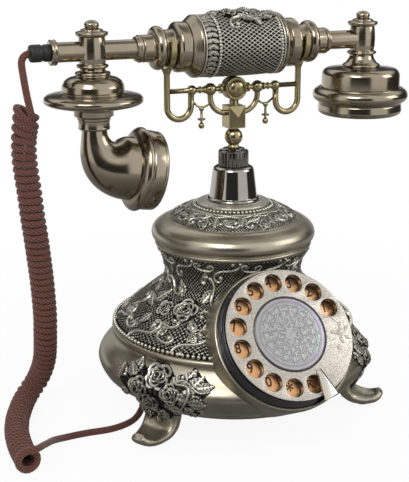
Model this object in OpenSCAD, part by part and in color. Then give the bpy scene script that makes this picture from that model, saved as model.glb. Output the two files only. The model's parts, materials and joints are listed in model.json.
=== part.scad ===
// Rotary telephone in an antique style: round ornate base on three curled feet,
// a column with a spring cradle, and a handset with a coiled cord.
// Origin on the table under the column's axis, +Z up, dial towards -Y, earpiece towards +X.

/* [Base] */
// Largest radius of the lower casing
bulge_r = 100.7; // [99:0.1:102]
// Radius of the rim at the foot of the lower casing
rim_r = 83.5; // [82:0.5:85]
// Height of the lower casing's foot above the table
casing_z = 19; // [18.5:0.1:19.5]
// Radius of the bead row between lower casing and skirt
bead_r = 88.3; // [87.5:0.1:89]
// Smallest radius of the waist under the lid
waist_r = 49.6; // [48.5:0.1:50.5]
// Largest radius of the lid's rounded rim
lid_r = 59.8; // [59:0.1:60.5]
// Wall thickness of the cast shells
wall = 3; // [2:0.1:3.5]
// Distance of each foot's pad from the column's axis
foot_r = 99; // [96:0.5:100]

/* [Dial] */
// Radius of the finger wheel
wheel_r = 46.3; // [46:0.1:46.5]
// Thickness of the finger wheel
wheel_t = 2.6; // [2:0.1:2.8]
// Radius of the circle through the finger holes
hole_circle_r = 37.3; // [37:0.1:37.6]
// Radius of one finger hole
finger_r = 6.4; // [5.5:0.1:6.6]
// Angle between neighbouring finger holes
hole_step = 23.6; // [23:0.1:24]
// Lean of the dial's face back from upright
dial_lean = 37; // [36:0.5:38]
// Distance of the finger wheel's centre in front of the column
dial_y = 91.2; // [91:0.1:91.5]
// Height of the finger wheel's centre
dial_z = 82.5; // [82.2:0.1:82.8]

/* [Cradle] */
// Height of the cradle's cross bar
bar_z = 236.7; // [236.4:0.1:236.7]
// Half the distance between the two forks
fork_x = 51.2; // [51:0.1:51.4]

/* [Handset] */
// Height of the handset's axis
handset_z = 267; // [267:0.1:267.2]
// Half the distance between mouthpiece and earpiece
barrel_x = 104.4; // [104:0.1:105]
// Largest radius of the grip
grip_r = 21.6; // [21:0.1:21.6]
// Half the length of the grip
grip_half = 31; // [30.5:0.1:31]
// Radius of the handset's tubes
tube_r = 6.6; // [6.4:0.1:6.7]
// Radius of the neck's rounded ring
neck_ring_r = 15; // [14.5:0.1:15.2]
// Radius of the saucer over the mouthpiece
saucer_r = 33.9; // [33:0.1:34.2]
// Radius of the earpiece's widest ring
ear_r = 35.4; // [35:0.1:36]
// Downward tilt of the mouthpiece's axis
mouth_tilt = 10.4; // [10:0.1:11]
// Radius of the mouthpiece's front ring
mouth_r = 29.4; // [28.5:0.1:30]

/* [Cord] */
// Radius of the braided cord
cord_r = 2.4; // [2:0.1:2.4]
// Outer radius of the coiled part
coil_r = 8.7; // [8:0.1:8.7]

/* [Hidden] */
$fn = 64;

// Gap between pieces of one body that nest, and between a shaft and its bore
nest = 0.05;
// Gap between pieces that move past each other
free = 0.4;
// Side count of hulled shapes
hull_fn = 32;
// Azimuths of the three feet
foot_angles = [90, 210, 330];

// Dial: depths below the finger wheel's front face
plate_depth = 6.2;
bezel_r = 48.6;
housing_depth = 10.7;
housing_r = 50.3;
housing_bore_r = 48.8;
frame_depth = 14;
gear_depth = 19;
hub_r = 25.2;
hole_count = 12;
first_hole = 67.8;
stop_angle = 156;
// Radius of the circle through the base plate's screws
screw_r = 72;
// How far the housing runs back into the body, towards +Y and down
housing_back_y = 29;
housing_back_z = 15.4;

// Gears: one module, in millimetres of pitch radius per two teeth
gear_module = 1;
drive_teeth = 40;
governor_teeth = 10;
cam_teeth = 20;
shaft_r = 4;
pinion_shaft_r = 1.5;

// Column and stem
stem_r = 3.2;
stem_foot_z = 99.6;
nut_z = 180.6;
nut_top_z = 192.2;
bracket_z = 108;
lever_pivot_x = 22;
lever_arm = 20;
lever_tilt = 7.16;

// Y places of the circuit board's standoffs
board_y = [-44, -14];

// Bell
gong_r = 20;
gong_x = 25;
gong_y = 56;
clapper_pivot_y = 16;
bell_z = 50;

// Handset lengths along its axis
flange_x = 38;
flange_end_x = 46;
neck_end_x = 75;
fork_half_t = 2;
collar_x = 129.1;
relief_x = 133.9;
relief_end_x = 147.4;
neck_groove_r = 12.2;

// Cradle sizes
post_tube_r = 2.2;
ball_in_x = 18.4;
ball_out_x = 32.6;
loop_r = 9;
fork_r = neck_groove_r + 0.3;
fork_t = 2.3;
boss_r = 8.4;
block_w = 13;
block_d = 12;
block_z = 208.5;
block_h = 16;

// Mouthpiece: centre of its front ring, and where the elbow starts
mouth_x = -74.3;
mouth_z = 184.4;
elbow_z = 214.5;

// Route of the coil's centreline, from under the handset's end to the table
coil_path = [
    [-151, 0, 230], [-151, 0, 227], [-153, 0, 214], [-153.6, 0, 202], [-152.9, 0, 190], [-151.3, 0, 176],
    [-149.7, 0, 158], [-147.5, 2, 143], [-145, 6, 127], [-142.6, 10, 111], [-140.8, 13.5, 95], [-139.4, 17, 80],
    [-138.7, 21, 66], [-137.6, 26.5, 54], [-136.8, 32.5, 42.5], [-137.8, 38, 31.5], [-141.3, 42, 21],
    [-146.5, 42.5, 13.8], [-151.8, 37.5, 10], [-156.5, 29, 8.8], [-160.8, 19, 8.75], [-164.3, 10.5, 8.75],
    [-167.5, 0.5, 8.75], [-170, -8, 8.75], [-172.1, -18, 8.75], [-173.6, -28, 8.75], [-174.6, -38, 8.75],
    [-175, -48, 8.75], [-175, -60, 8.75]
];
// Route of the straight cord from the handset's end to the coil
lead_top_path = [
    [-147.4, 0, 267], [-148.4, 0, 267], [-149.9, 0, 266.4], [-151.1, 0, 264.9], [-151.6, 0, 262.6],
    [-151.7, 0, 258], [-151.4, 0, 252], [-151, 0, 246], [-150.9, 0, 240], [-151, 0, 234], [-151, 0, 230]
];
// Route of the straight cord along the table, from the coil into the base
lead_bottom_path = [
    [-172, -62.6, 14.6], [-168.5, -62.6, 15.4], [-164.2, -59.6, 15], [-160.8, -52, 13.6], [-157, -43.5, 11.5],
    [-152.5, -35.5, 8.8], [-147, -29, 6], [-141.5, -24.5, 3.9], [-136, -21.8, 2.7], [-130, -20.9, 2.4],
    [-121.3, -20.9, 2.4], [-110, -21.8, 2.4], [-101.4, -21.2, 2.4], [-93, -18.5, 2.4], [-85.8, -14.6, 2.6],
    [-80, -9.6, 3.6], [-76, -5, 5.6], [-73, -1.6, 8.2], [-70, 0, 10], [-65, 0, 10]
];

// Points of an arc about (cx, cy) from angle a0 to a1
function arc(cx, cy, r, a0, a1, n = 6) =
    [for (i = [0 : n]) let (a = a0 + (a1 - a0) * i / n) [cx + r * cos(a), cy + r * sin(a)]];

function unit(v) = v / norm(v);

// Direction of a path at point i
function heading(path, i) =
    unit(path[min(i + 1, len(path) - 1)] - path[max(i - 1, 0)]);

// A side vector carried along a path without twisting
function side(path, i, first) =
    i == 0 ? unit(cross(cross(heading(path, 0), first), heading(path, 0)))
    : let (s = side(path, i - 1, first), t = heading(path, i)) unit(s - (s * t) * t);

// Cubic Bezier point
function bezier(p, t) =
    pow(1 - t, 3) * p[0] + 3 * pow(1 - t, 2) * t * p[1] + 3 * (1 - t) * t * t * p[2] + pow(t, 3) * p[3];

// A round tube along a path, with one radius for each point
module swept(path, radii, sides, first = [0, 1, 0]) {
    rings = len(path);
    points = [
        for (i = [0 : rings - 1])
            let (t = heading(path, i), u = side(path, i, first), v = cross(t, u))
            for (j = [0 : sides - 1])
                path[i] + radii[i] * (cos(360 * j / sides) * u + sin(360 * j / sides) * v)
    ];
    walls = [
        for (i = [0 : rings - 2], j = [0 : sides - 1])
            let (k = (j + 1) % sides)
            [i * sides + j, (i + 1) * sides + j, (i + 1) * sides + k, i * sides + k]
    ];
    first_cap = [for (j = [0 : sides - 1]) j];
    last_cap = [for (j = [sides - 1 : -1 : 0]) (rings - 1) * sides + j];
    polyhedron(points = points, faces = concat(walls, [first_cap, last_cap]));
}

// A turned piece from its half outline, [radius, height]
module turned(points) {
    rotate_extrude() polygon(points);
}

// Places a piece made along +Z so that it runs along +X on the handset's axis
module on_handset(x, mirrored = false) {
    translate([x, 0, handset_z])
        rotate([0, mirrored ? -90 : 90, 0]) children();
}

// Places a piece made in the dial's own frame: face towards +Z, top towards +Y
module on_dial() {
    translate([0, -dial_y, dial_z]) rotate([90 - dial_lean, 0, 0]) children();
}

// Places a piece made along +Z so that it runs along the mouthpiece's axis
module on_mouth() {
    translate([mouth_x, 0, mouth_z]) rotate([0, 90 + mouth_tilt, 0]) children();
}

// Both sides of the cradle and handset
module both_sides() {
    children();
    mirror([1, 0, 0]) children();
}

// ---------- base shells ----------

// Outline of the lower casing's outer face, from its foot up
function casing_outline() = [
    [rim_r - 1, casing_z], [rim_r, casing_z + 0.8], [rim_r, casing_z + 3.6], [rim_r - 0.8, casing_z + 4.2],
    [rim_r + 4.5, 24.2], [93, 26.3], [96.8, 30], [99.3, 34.5], [bulge_r, 39], [bulge_r - 0.6, 42],
    [97.3, 46.5], [93.8, 50.5], [90.8, 54.5], [89, 58]
];

function skirt_outline() = [
    [bead_r, 65.2], [84.6, 67.6], [80.6, 71], [75.2, 76], [68.8, 82], [61.2, 88],
    [54, 93.5], [50.6, 98], [waist_r, 103], [waist_r, 107.5], [50.8, 113], [52.4, 117]
];

// A slanted drum that runs back into the body from a given depth under the dial
module slanted_drum(radius, depth, reach) {
    hull() {
        on_dial() translate([0, 0, -depth - 1]) cylinder(r = radius, h = 1);
        translate([0, housing_back_y, -housing_back_z] * reach)
            on_dial() translate([0, 0, -frame_depth - 3]) cylinder(r = radius, h = 1);
    }
}

// The space that the dial housing needs in the shells
module housing_space() {
    slanted_drum(housing_r + 0.4, housing_depth, 1);
}

module lower_casing() color("tan") {
    inner = [for (p = casing_outline()) [p[0] - wall, p[1]]];
    top = [[bead_r + 1.2, 60], [bead_r + 1.6, 61.5], [bead_r + 1.2, 63], [bead_r, 63.8], [bead_r - wall, 63.8]];
    difference() {
        union() {
            turned(concat(casing_outline(), top, [for (i = [len(inner) - 1 : -1 : 0]) inner[i]]));
            for (a = foot_angles) rotate(a) translate([screw_r - 4, -4, casing_z + 2]) cube([14, 8, 6]);
        }
        for (a = foot_angles) rotate(a) translate([screw_r, 0, casing_z]) cylinder(r = 1.65, h = 6);
        housing_space();
        line_jack_space(nest);
    }
}

module skirt_casing() color("gray") {
    outline = skirt_outline();
    last = len(outline) - 1;
    inner = [for (i = [last : -1 : 0]) [outline[i][0] - wall, max(outline[i][1] - 1, 63.8)]];
    difference() {
        union() {
            turned(concat([[bead_r - wall, 63.8], [bead_r, 63.8]], outline, inner));
            turned(arc(bead_r - 0.6, 65.4, 1.5, 0, 360, 12));
        }
        housing_space();
    }
}

module lid() color("tan") {
    turned([
        [52.6, 117], [53.2, 118.4], [55, 121], [56.4, 124], [57, 126.4], [58.6, 127.8],
        [lid_r - 0.4, 130], [lid_r, 132.4], [lid_r - 0.5, 135.2], [57.6, 137.6], [54.6, 139.8],
        [51.2, 141], [49.6, 142], [46.5, 144.6], [42, 147], [36, 149.6], [30, 151.4], [28, 152],
        [stem_r + free, 152], [stem_r + free, 149], [30, 148], [42, 143.5], [47, 139],
        [53, 135], [55.5, 131], [53, 126], [51, 121], [49.6, 117]
    ]);
}

module column_flange() color("silver") {
    turned([
        [stem_r + free, 152], [27, 152], [28.5, 152.6], [28.5, 153.6], [27, 154.4], [22, 155.4],
        [19.6, 156], [stem_r + free, 156]
    ]);
}

module column_cone() color("dimgray") {
    turned([
        [stem_r + free, 156], [18.8, 156], [19.4, 156.8], [18.8, 157.8], [17.3, 158.2], [14.9, 178.4],
        [14.2, 179.8], [12.6, 180.6], [stem_r + free, 180.6]
    ]);
}

module knurled_nut() color("dimgray") {
    flutes = 24;
    difference() {
        turned([
            [stem_r + nest, nut_z], [10.2, nut_z], [10.9, nut_z + 0.8], [10.9, nut_top_z - 0.8],
            [10.2, nut_top_z], [8, nut_top_z + 0.2], [8, nut_top_z + 1.2], [6.5, nut_top_z + 1.8],
            [stem_r + nest, nut_top_z + 1.8]
        ]);
        for (i = [0 : flutes - 1])
            rotate(i * 360 / flutes) translate([11.2, 0, nut_z + 0.6])
                cylinder(r = 0.8, h = nut_top_z - nut_z - 1.2, $fn = 16);
    }
}

// One curled foot along +X: side outline from ankle to toe
module foot() {
    outline = concat(
        [[80.5, casing_z], [79, 12], [82, 6.5], [88, 2.4], [foot_r - 6, 1.2], [foot_r + 6, 1.2]],
        [[110, 2.6], [115, 5.6], [117.6, 9.6]],
        arc(115.9, 11.2, 2.2, 0, 150, 6),
        [[110.5, 9.2], [105, 8.6], [100.5, 11], [97, 15.5], [95, casing_z + 3]],
        [[rim_r + nest, casing_z + 3], [rim_r + nest, casing_z]]
    );
    intersection() {
        rotate([90, 0, 0]) linear_extrude(height = 27, center = true) polygon(outline);
        hull() {
            translate([84, 0, 0]) cylinder(r = 15, h = 30, $fn = hull_fn);
            translate([108, 0, 0]) cylinder(r = 10, h = 30, $fn = hull_fn);
        }
    }
}

module feet() color("tan") {
    difference() {
        for (a = foot_angles) rotate(a) foot();
        turned(concat([[0, casing_z], [rim_r - 1, casing_z]], casing_outline(), [[89, 70], [0, 70]]));
    }
}

module foot_pads() color("black") {
    for (a = foot_angles) rotate(a) translate([foot_r, 0, 0]) cylinder(r = 5, h = 1.2);
}

// Raised rose sprays that hug the casing over the feet
module rose_clusters() color("silver") {
    spread = 34;
    proud = 5;
    inner = [for (p = casing_outline()) if (p[1] > casing_z + 5 && p[1] < 56) [p[0] + nest, p[1]]];
    outer = [for (i = [len(inner) - 1 : -1 : 0]) inner[i] + [proud, 0]];
    for (a = foot_angles) rotate(a - spread / 2)
        rotate_extrude(angle = spread) polygon(concat(inner, outer));
}

module base_plate() color("black") {
    difference() {
        union() {
            translate([0, 0, casing_z]) cylinder(r = rim_r - 1 - wall - nest, h = 2);
            for (x = [-38, 38], y = board_y) translate([x, y, casing_z + 2]) cylinder(r = 3, h = 5);
            for (x = [-gong_x, gong_x]) translate([x, gong_y, casing_z + 2]) {
                cylinder(r = 3, h = bell_z + 4.6 - casing_z - 2);
                cylinder(r = 1.9, h = bell_z + 8 - casing_z - 2);
            }
        }
        for (a = foot_angles) rotate(a) translate([screw_r, 0, casing_z - 1]) cylinder(r = 1.65, h = 4);
        housing_space();
    }
}

module plate_screws() color("silver") {
    for (a = foot_angles) rotate(a) translate([screw_r, 0, casing_z]) {
        translate([0, 0, -1.6]) cylinder(r = 3, h = 1.6);
        cylinder(r = 1.6, h = 5);
    }
}

// ---------- dial, fixed pieces ----------

module dial_housing() color("silver") {
    ledge_r = housing_bore_r - 2;
    on_dial() turned([
        [ledge_r, -frame_depth - 2], [housing_r + 0.2, -frame_depth - 2], [housing_r + 0.3, -13],
        [housing_r + 0.3, -11], [housing_r, -10.2], [housing_r - 0.6, -9.9], [housing_bore_r, -10],
        [housing_bore_r, -frame_depth], [ledge_r, -frame_depth]
    ]);
    difference() {
        slanted_drum(housing_r, frame_depth + 2, 1);
        slanted_drum(ledge_r, frame_depth + 2, 1.1);
    }
}

module dial_bezel() color("black") {
    on_dial() turned([
        [44.6, -frame_depth + 2], [bezel_r, -frame_depth + 2], [bezel_r, -10.4], [bezel_r - 0.7, -10],
        [bezel_r - 0.4, -8], [bezel_r - 1.1, -7.6], [bezel_r - 0.9, -5.4], [bezel_r - 1.5, -5],
        [bezel_r - 1.7, -wheel_t - 0.5], [44.6, -wheel_t - 0.5]
    ]);
}

module number_plate() color("peru") {
    on_dial() difference() {
        translate([0, 0, -plate_depth - 1]) cylinder(r = 44.6 - nest, h = 1);
        translate([0, 0, -plate_depth - 2]) cylinder(r = 7, h = 3);
    }
}

module finger_stop() color("silver") {
    on_dial() rotate(-stop_angle) difference() {
        union() {
            translate([0, 0, 0.5]) linear_extrude(height = 2.1)
                polygon([[-0.6, 30], [-0.6, 50.2], [4, 50.2], [6, 49.8], [0.8, 30]]);
            translate([0, 0, -housing_depth + 0.8]) linear_extrude(height = 13)
                polygon([[-0.6, 48.9], [-0.6, 50.2], [4, 50.2], [5.6, 49.9], [5.4, 48.7]]);
        }
        translate([0, 0, -housing_depth]) cylinder(r = housing_bore_r, h = housing_depth);
    }
}

module dial_frame() color("silver") {
    on_dial() difference() {
        union() {
            translate([0, 0, -frame_depth]) cylinder(r = housing_bore_r - nest, h = 2);
            translate([0, 0, -frame_depth]) cylinder(r = 6.8, h = 6);
        }
        translate([0, 0, -frame_depth - 1]) cylinder(r = shaft_r + nest, h = 8);
        for (g = [[-governor_teeth, -1], [cam_teeth, 1]])
            translate([g[1] * gear_module * (drive_teeth + abs(g[0])) / 2, 0, -frame_depth - 1])
                cylinder(r = pinion_shaft_r + nest, h = 4, $fn = 24);
    }
}

// Point of a flat spiral: turn i / 12, moved outwards by grow
function spiral(i, grow) =
    let (a = 30 * i, r = 5.6 + 0.13 * i + grow) [r * cos(a), r * sin(a)];

// Flat coil that turns the wheel back
module return_spring() color("gray") {
    steps = 36;
    strip = 0.6;
    outer = [for (i = [steps : -1 : 0]) spiral(i, strip)];
    on_dial() translate([0, 0, -gear_depth - 5]) linear_extrude(height = 3)
        polygon(concat([for (i = [0 : steps]) spiral(i, 0)], outer));
}

// ---------- inside the base ----------

module circuit_board() color("green") {
    difference() {
        translate([-45, -50, casing_z + 7]) cube([90, 42, 1.6]);
        for (x = [-38, 38], y = board_y) translate([x, y, casing_z]) cylinder(r = 1.6, h = 20);
    }
    translate([-20, -36, casing_z + 8.6]) cube([18, 10, 4]);
    translate([12, -26, casing_z + 8.6]) cylinder(r = 5, h = 10);
    translate([28, -28, casing_z + 8.6]) cylinder(r = 4, h = 8);
}

module bell_gongs() color("gold") {
    for (x = [-gong_x, gong_x]) translate([x, gong_y, bell_z]) difference() {
        turned([
            [0, 6], [8, 5.6], [14, 4], [18, 1], [gong_r, -6], [gong_r - 1.2, -6.4], [17, 0], [13, 2.6],
            [8, 4.2], [0, 4.6]
        ]);
        translate([0, 0, -10]) cylinder(r = 2, h = 20);
    }
}

module ringer_coil() color("brown") {
    for (x = [-11, 11]) translate([x, -2, bell_z]) rotate([-90, 0, 0]) cylinder(r = 7, h = 15);
    translate([-20, -5, casing_z + 2]) cube([40, 3, bell_z + 6 - casing_z]);
    difference() {
        translate([-4, clapper_pivot_y - 4, bell_z - 12]) cube([8, 8, 3]);
        translate([0, clapper_pivot_y, bell_z - 14]) cylinder(r = 1.5 + nest, h = 8, $fn = 24);
    }
    translate([-3, -2, bell_z - 12]) cube([6, clapper_pivot_y - 2, 3]);
}

module line_jack_space(grow = 0) {
    translate([40 - grow, 66, 30 - grow]) cube([16 + 2 * grow, 40, 13 + 2 * grow]);
}

module line_jack() color("black") {
    difference() {
        intersection() {
            line_jack_space();
            cylinder(r = bulge_r - 1.2, h = 60);
        }
        translate([43, 76, 33]) cube([10, 40, 7]);
    }
}

module cord_inlet() color("black") {
    inlet_z = 10;
    translate([-65, 0, inlet_z]) rotate([0, 90, 0]) cylinder(r = 4.5, h = 12);
    translate([-63, -6, inlet_z]) cube([10, 12, casing_z - inlet_z]);
}

// Bracket across the waist, with the microswitch under the lever
module hook_switch() color("black") {
    difference() {
        union() {
            intersection() {
                translate([-60, -9, bracket_z]) cube([120, 18, 2.5]);
                cylinder(r = waist_r - wall - nest, h = 200);
            }
            for (y = [-5.5, 3.5]) translate([lever_pivot_x - 3, y, bracket_z - 11]) cube([6, 2, 11]);
            translate([lever_pivot_x + 6, -3, bracket_z - 12]) cube([12, 6, 12]);
        }
        translate([0, 0, bracket_z - 1]) cylinder(r = stem_r + nest, h = 5);
        translate([lever_pivot_x, 10, bracket_z - 7]) rotate([90, 0, 0])
            cylinder(r = 1.2 + nest, h = 20, $fn = 24);
    }
}

module hook_spring() color("silver") {
    turns = 5;
    steps = turns * 10;
    spring_r = 5;
    wire_r = 0.5;
    low = bracket_z + 2.5 + wire_r;
    high = 132 - wire_r;
    route = [for (i = [0 : steps]) let (a = 360 * i / 10)
        [spring_r * cos(a), spring_r * sin(a), low + (high - low) * i / steps]];
    swept(route, [for (i = [0 : steps]) wire_r], 6, [0, 0, 1]);
}

// ---------- dial, turning pieces ----------

module finger_wheel() color("silver") {
    on_dial() difference() {
        turned([
            [0, -wheel_t], [wheel_r - 0.5, -wheel_t], [wheel_r, -wheel_t + 0.6], [wheel_r, -0.7],
            [wheel_r - 0.7, 0], [0, 0]
        ]);
        for (k = [0 : hole_count - 1]) rotate(-(first_hole - hole_step * k))
            translate([0, hole_circle_r, -wheel_t - 1]) cylinder(r = finger_r, h = wheel_t + 2);
        translate([0, 0, -1]) cylinder(r = hub_r + 1.6 + nest, h = 2);
    }
}

module hub_ring() color("black") {
    on_dial() turned([
        [hub_r + nest, -1], [hub_r + 1.6, -1], [hub_r + 1.6, 0.3], [hub_r + 1.2, 0.7], [hub_r + nest, 0.5]
    ]);
}

module hub_disc() color("lightgray") {
    on_dial() turned([[0, -1], [hub_r, -1], [hub_r, 0.4], [20, 0.8], [10, 1.1], [0, 1.2]]);
}

module wheel_shaft() color("gray") {
    on_dial() {
        translate([0, 0, -26]) cylinder(r = shaft_r, h = 26 - wheel_t);
        translate([0, 0, -wheel_t - 1.5]) cylinder(r = 6, h = 1.5);
    }
}

// A spur gear with straight-sided teeth and room for running
module spur_gear(teeth, thickness) {
    pitch = gear_module * teeth / 2;
    half_tooth = 360 / teeth / 4;
    root = pitch - 1.05 * gear_module;
    tip = pitch + 0.75 * gear_module;
    linear_extrude(height = thickness) polygon([
        for (i = [0 : teeth - 1], p = [[-1.35, root], [-0.42, tip], [0.42, tip], [1.35, root]])
            let (a = 360 * i / teeth + p[0] * half_tooth)
            [p[1] * cos(a), p[1] * sin(a)]
    ]);
}

module drive_gear() color("gold") {
    on_dial() translate([0, 0, -gear_depth]) difference() {
        spur_gear(drive_teeth, 2.5);
        translate([0, 0, -1]) cylinder(r = shaft_r + nest, h = 5);
    }
}

module governor() color("gold") {
    on_dial() translate([-gear_module * (drive_teeth + governor_teeth) / 2, 0, 0]) {
        translate([0, 0, -gear_depth]) rotate(180 / governor_teeth) spur_gear(governor_teeth, 2.5);
        translate([0, 0, -gear_depth - 8]) cylinder(r = 7, h = 4);
        translate([0, 0, -gear_depth - 8])
            cylinder(r = pinion_shaft_r, h = gear_depth + 8 - frame_depth + 2, $fn = 24);
    }
}

module pulse_cam() color("gold") {
    on_dial() translate([gear_module * (drive_teeth + cam_teeth) / 2, 0, 0]) {
        translate([0, 0, -gear_depth]) rotate(180 / cam_teeth) spur_gear(cam_teeth, 2.5);
        translate([0, 0, -gear_depth - 4]) cylinder(r = 4, h = 4);
        translate([-6, -1.5, -gear_depth - 4]) cube([12, 3, 2.5]);
        translate([0, 0, -gear_depth - 4])
            cylinder(r = pinion_shaft_r, h = gear_depth + 4 - frame_depth + 2, $fn = 24);
    }
}

// ---------- bell clapper and hook lever ----------

module clapper() color("silver") {
    translate([-14, clapper_pivot_y - 1.8, bell_z - 5]) cube([28, 1.5, 8]);
    translate([0, clapper_pivot_y, bell_z - 12]) cylinder(r = 1.5, h = 11, $fn = 24);
    translate([-1, clapper_pivot_y - 1, bell_z - 1]) cube([2, gong_y - clapper_pivot_y, 2]);
    translate([0, gong_y, bell_z - 4]) cylinder(r = 3, h = 6);
}

module hook_lever() color("silver") {
    translate([lever_pivot_x, 0, bracket_z - 7]) rotate([0, -lever_tilt, 0]) {
        translate([-lever_arm - 1, -2, -1]) cube([lever_arm, 4, 1.5]);
        translate([0, -1.5, -0.8]) cube([5.2, 3, 1.2]);
        rotate([90, 0, 0]) cylinder(r = 1.2, h = 12, center = true, $fn = 24);
        rotate([90, 0, 0]) cylinder(r = 2.4, h = 6, center = true, $fn = 24);
    }
}

// ---------- cradle ----------

module cradle_stem() color("silver") {
    translate([0, 0, stem_foot_z]) cylinder(r = stem_r, h = nut_top_z + 2.4 - stem_foot_z);
    translate([0, 0, 132]) cylinder(r = 7, h = 2);
}

module cradle_post() color("gold") {
    turned(concat(
        [[0, nut_top_z + 2.4], [4.4, nut_top_z + 2.4], [3.6, nut_top_z + 3.6]],
        arc(0, 201.8, 6.5, -56, 60, 10),
        [[3.2, 207.6], [3.6, block_z], [0, block_z]]
    ));
}

module cradle_block() color("gold") {
    translate([-block_w / 2, -block_d / 2, block_z]) cube([block_w, block_d, block_h]);
    translate([0, 0, block_z + block_h]) cylinder(r = 3.4, h = bar_z - boss_r - block_z - block_h - nest);
}

module centre_boss() color("gold") {
    translate([0, 0, bar_z]) rotate([90, 0, 0]) rotate_extrude() polygon(concat(
        [[0, -6], [6, -6], [boss_r - 1, -5]], arc(boss_r - 1.2, -3.8, 1.2, -60, 0, 3),
        arc(boss_r - 1.2, 4, 1.2, 0, 90, 4), [[6.9, 4.6], [6.5, 4.2]],
        [[6.2, 5], [5.2, 6.2], [3.4, 7.2], [0, 7.8]]
    ));
}

// Half of the cross bar along +X, with its turned balls
module half_bar() {
    translate([0, 0, bar_z]) rotate([0, 90, 0]) {
        cylinder(r = 1.8, h = fork_x);
        translate([0, 0, 10]) cylinder(r = 3.4, h = 1.4);
        translate([0, 0, 22.6]) cylinder(r = 2.6, h = 1.2);
        translate([0, 0, 26]) cylinder(r = 2.6, h = 1.2);
    }
    translate([ball_in_x, 0, bar_z]) sphere(r = 4.4);
    translate([ball_out_x, 0, bar_z]) sphere(r = 3.6);
}

module cradle_bar() color("gold") {
    difference() {
        both_sides() half_bar();
        translate([0, 20, bar_z]) rotate([90, 0, 0]) cylinder(r = boss_r + nest, h = 40);
        both_sides() translate([fork_x, 0, 200]) cylinder(r = post_tube_r + nest, h = 60);
    }
}

// One post with its hanging loop, from the fork's cup round to the outer ball
module hanger_loop() {
    loop_x = fork_x - loop_r;
    loop_z = 226;
    difference() {
        union() {
            translate([fork_x, 0, loop_z]) cylinder(r = post_tube_r, h = 26);
            translate([fork_x, 0, 248.4]) cylinder(r1 = post_tube_r, r2 = 4.2, h = 5);
        }
        translate([0, 0, handset_z]) rotate([0, 90, 0]) cylinder(r = fork_r + fork_t + nest, h = 2 * fork_x);
    }
    translate([loop_x, 0, loop_z]) rotate([-90, 0, 0])
        rotate_extrude(angle = 180) translate([loop_r, 0]) circle(r = post_tube_r, $fn = 32);
    difference() {
        translate([loop_x - loop_r, 0, loop_z]) cylinder(r = post_tube_r, h = bar_z - loop_z);
        translate([ball_out_x, 0, bar_z]) sphere(r = 3.6 + nest);
        translate([0, 0, bar_z]) rotate([0, 90, 0]) cylinder(r = 1.8 + nest, h = fork_x);
    }
}

module hanger_loops() color("gold") {
    both_sides() hanger_loop();
}

module cradle_forks() color("gold") {
    tip_z = 6.5;
    both_sides() translate([fork_x - fork_half_t, 0, handset_z]) rotate([90, 0, 90])
        linear_extrude(height = 2 * fork_half_t) difference() {
            union() {
                circle(r = fork_r + fork_t);
                translate([-fork_r - fork_t, 0]) square([2 * (fork_r + fork_t), tip_z]);
            }
            circle(r = fork_r);
            translate([-fork_r, 0]) square([2 * fork_r, 30]);
            translate([-30, tip_z]) square([60, 30]);
        }
}

// Curved arm from the inner ball down to the block, and the hanging drop
module cradle_arm() {
    bend_r = ball_in_x - block_w / 2;
    difference() {
        union() {
            translate([block_w / 2, 0, 231.2]) rotate([-90, 0, 0])
                rotate_extrude(angle = 90) translate([bend_r, 0]) circle(r = 2, $fn = 32);
            translate([ball_in_x, 0, 231.2]) cylinder(r = 2, h = 6);
        }
        translate([ball_in_x, 0, bar_z]) sphere(r = 4.4 + nest);
        translate([0, 0, bar_z]) rotate([0, 90, 0]) cylinder(r = 1.8 + nest, h = fork_x);
    }
    translate([25.2, 0, 223.4]) sphere(r = 1.9, $fn = 32);
    translate([25.2, 0, 213]) cylinder(r = 0.9, h = 10, $fn = 24);
    translate([25.2, 0, 215.4]) cylinder(r = 2.8, h = 1, $fn = 32);
    translate([25.2, 0, 211.4]) sphere(r = 2.2, $fn = 32);
    strut(25.2, 223.4, 16.6, 227.5);
    strut(25.2, 223.4, 31.6, 228);
}

// Thin straight wire in the cradle's plane
module strut(x0, z0, x1, z1) {
    length = norm([x1 - x0, z1 - z0]);
    translate([x0, 0, z0]) rotate([0, atan2(x1 - x0, z1 - z0), 0]) cylinder(r = 0.8, h = length, $fn = 24);
}

module cradle_arms() color("gold") {
    difference() {
        both_sides() cradle_arm();
        both_sides() hanger_loop_core();
    }
}

// The loop's inner leg, grown, so that the strut ends on it
module hanger_loop_core() {
    translate([fork_x - 2 * loop_r, 0, 220]) cylinder(r = post_tube_r + nest, h = 20);
}

// ---------- handset ----------

module grip_sleeve() color("gray") {
    on_handset(0) turned([
        [grip_r - 3, -grip_half], [grip_r - 0.7, -grip_half], [grip_r - 0.2, -16], [grip_r, 0],
        [grip_r - 0.2, 16], [grip_r - 0.7, grip_half], [grip_r - 3, grip_half]
    ]);
}

module grip_relief() color("silver") {
    difference() {
        union() {
            for (x = [-14, -5, 5, 14])
                translate([x, x / 2.5, handset_z + grip_r - 3]) sphere(r = 6, $fn = 32);
        }
        on_handset(-60) cylinder(r = grip_r + nest, h = 120);
    }
}

module end_caps() color("silver") {
    both_sides() on_handset(grip_half) turned(concat(
        [[tube_r + nest, 0]], arc(grip_r - 1.3, 1.3, 1.3, -90, 40, 4),
        [[20, 3.6], [17.4, 6.6], [16.6, flange_x - grip_half], [tube_r + nest, flange_x - grip_half]]
    ));
}

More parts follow.
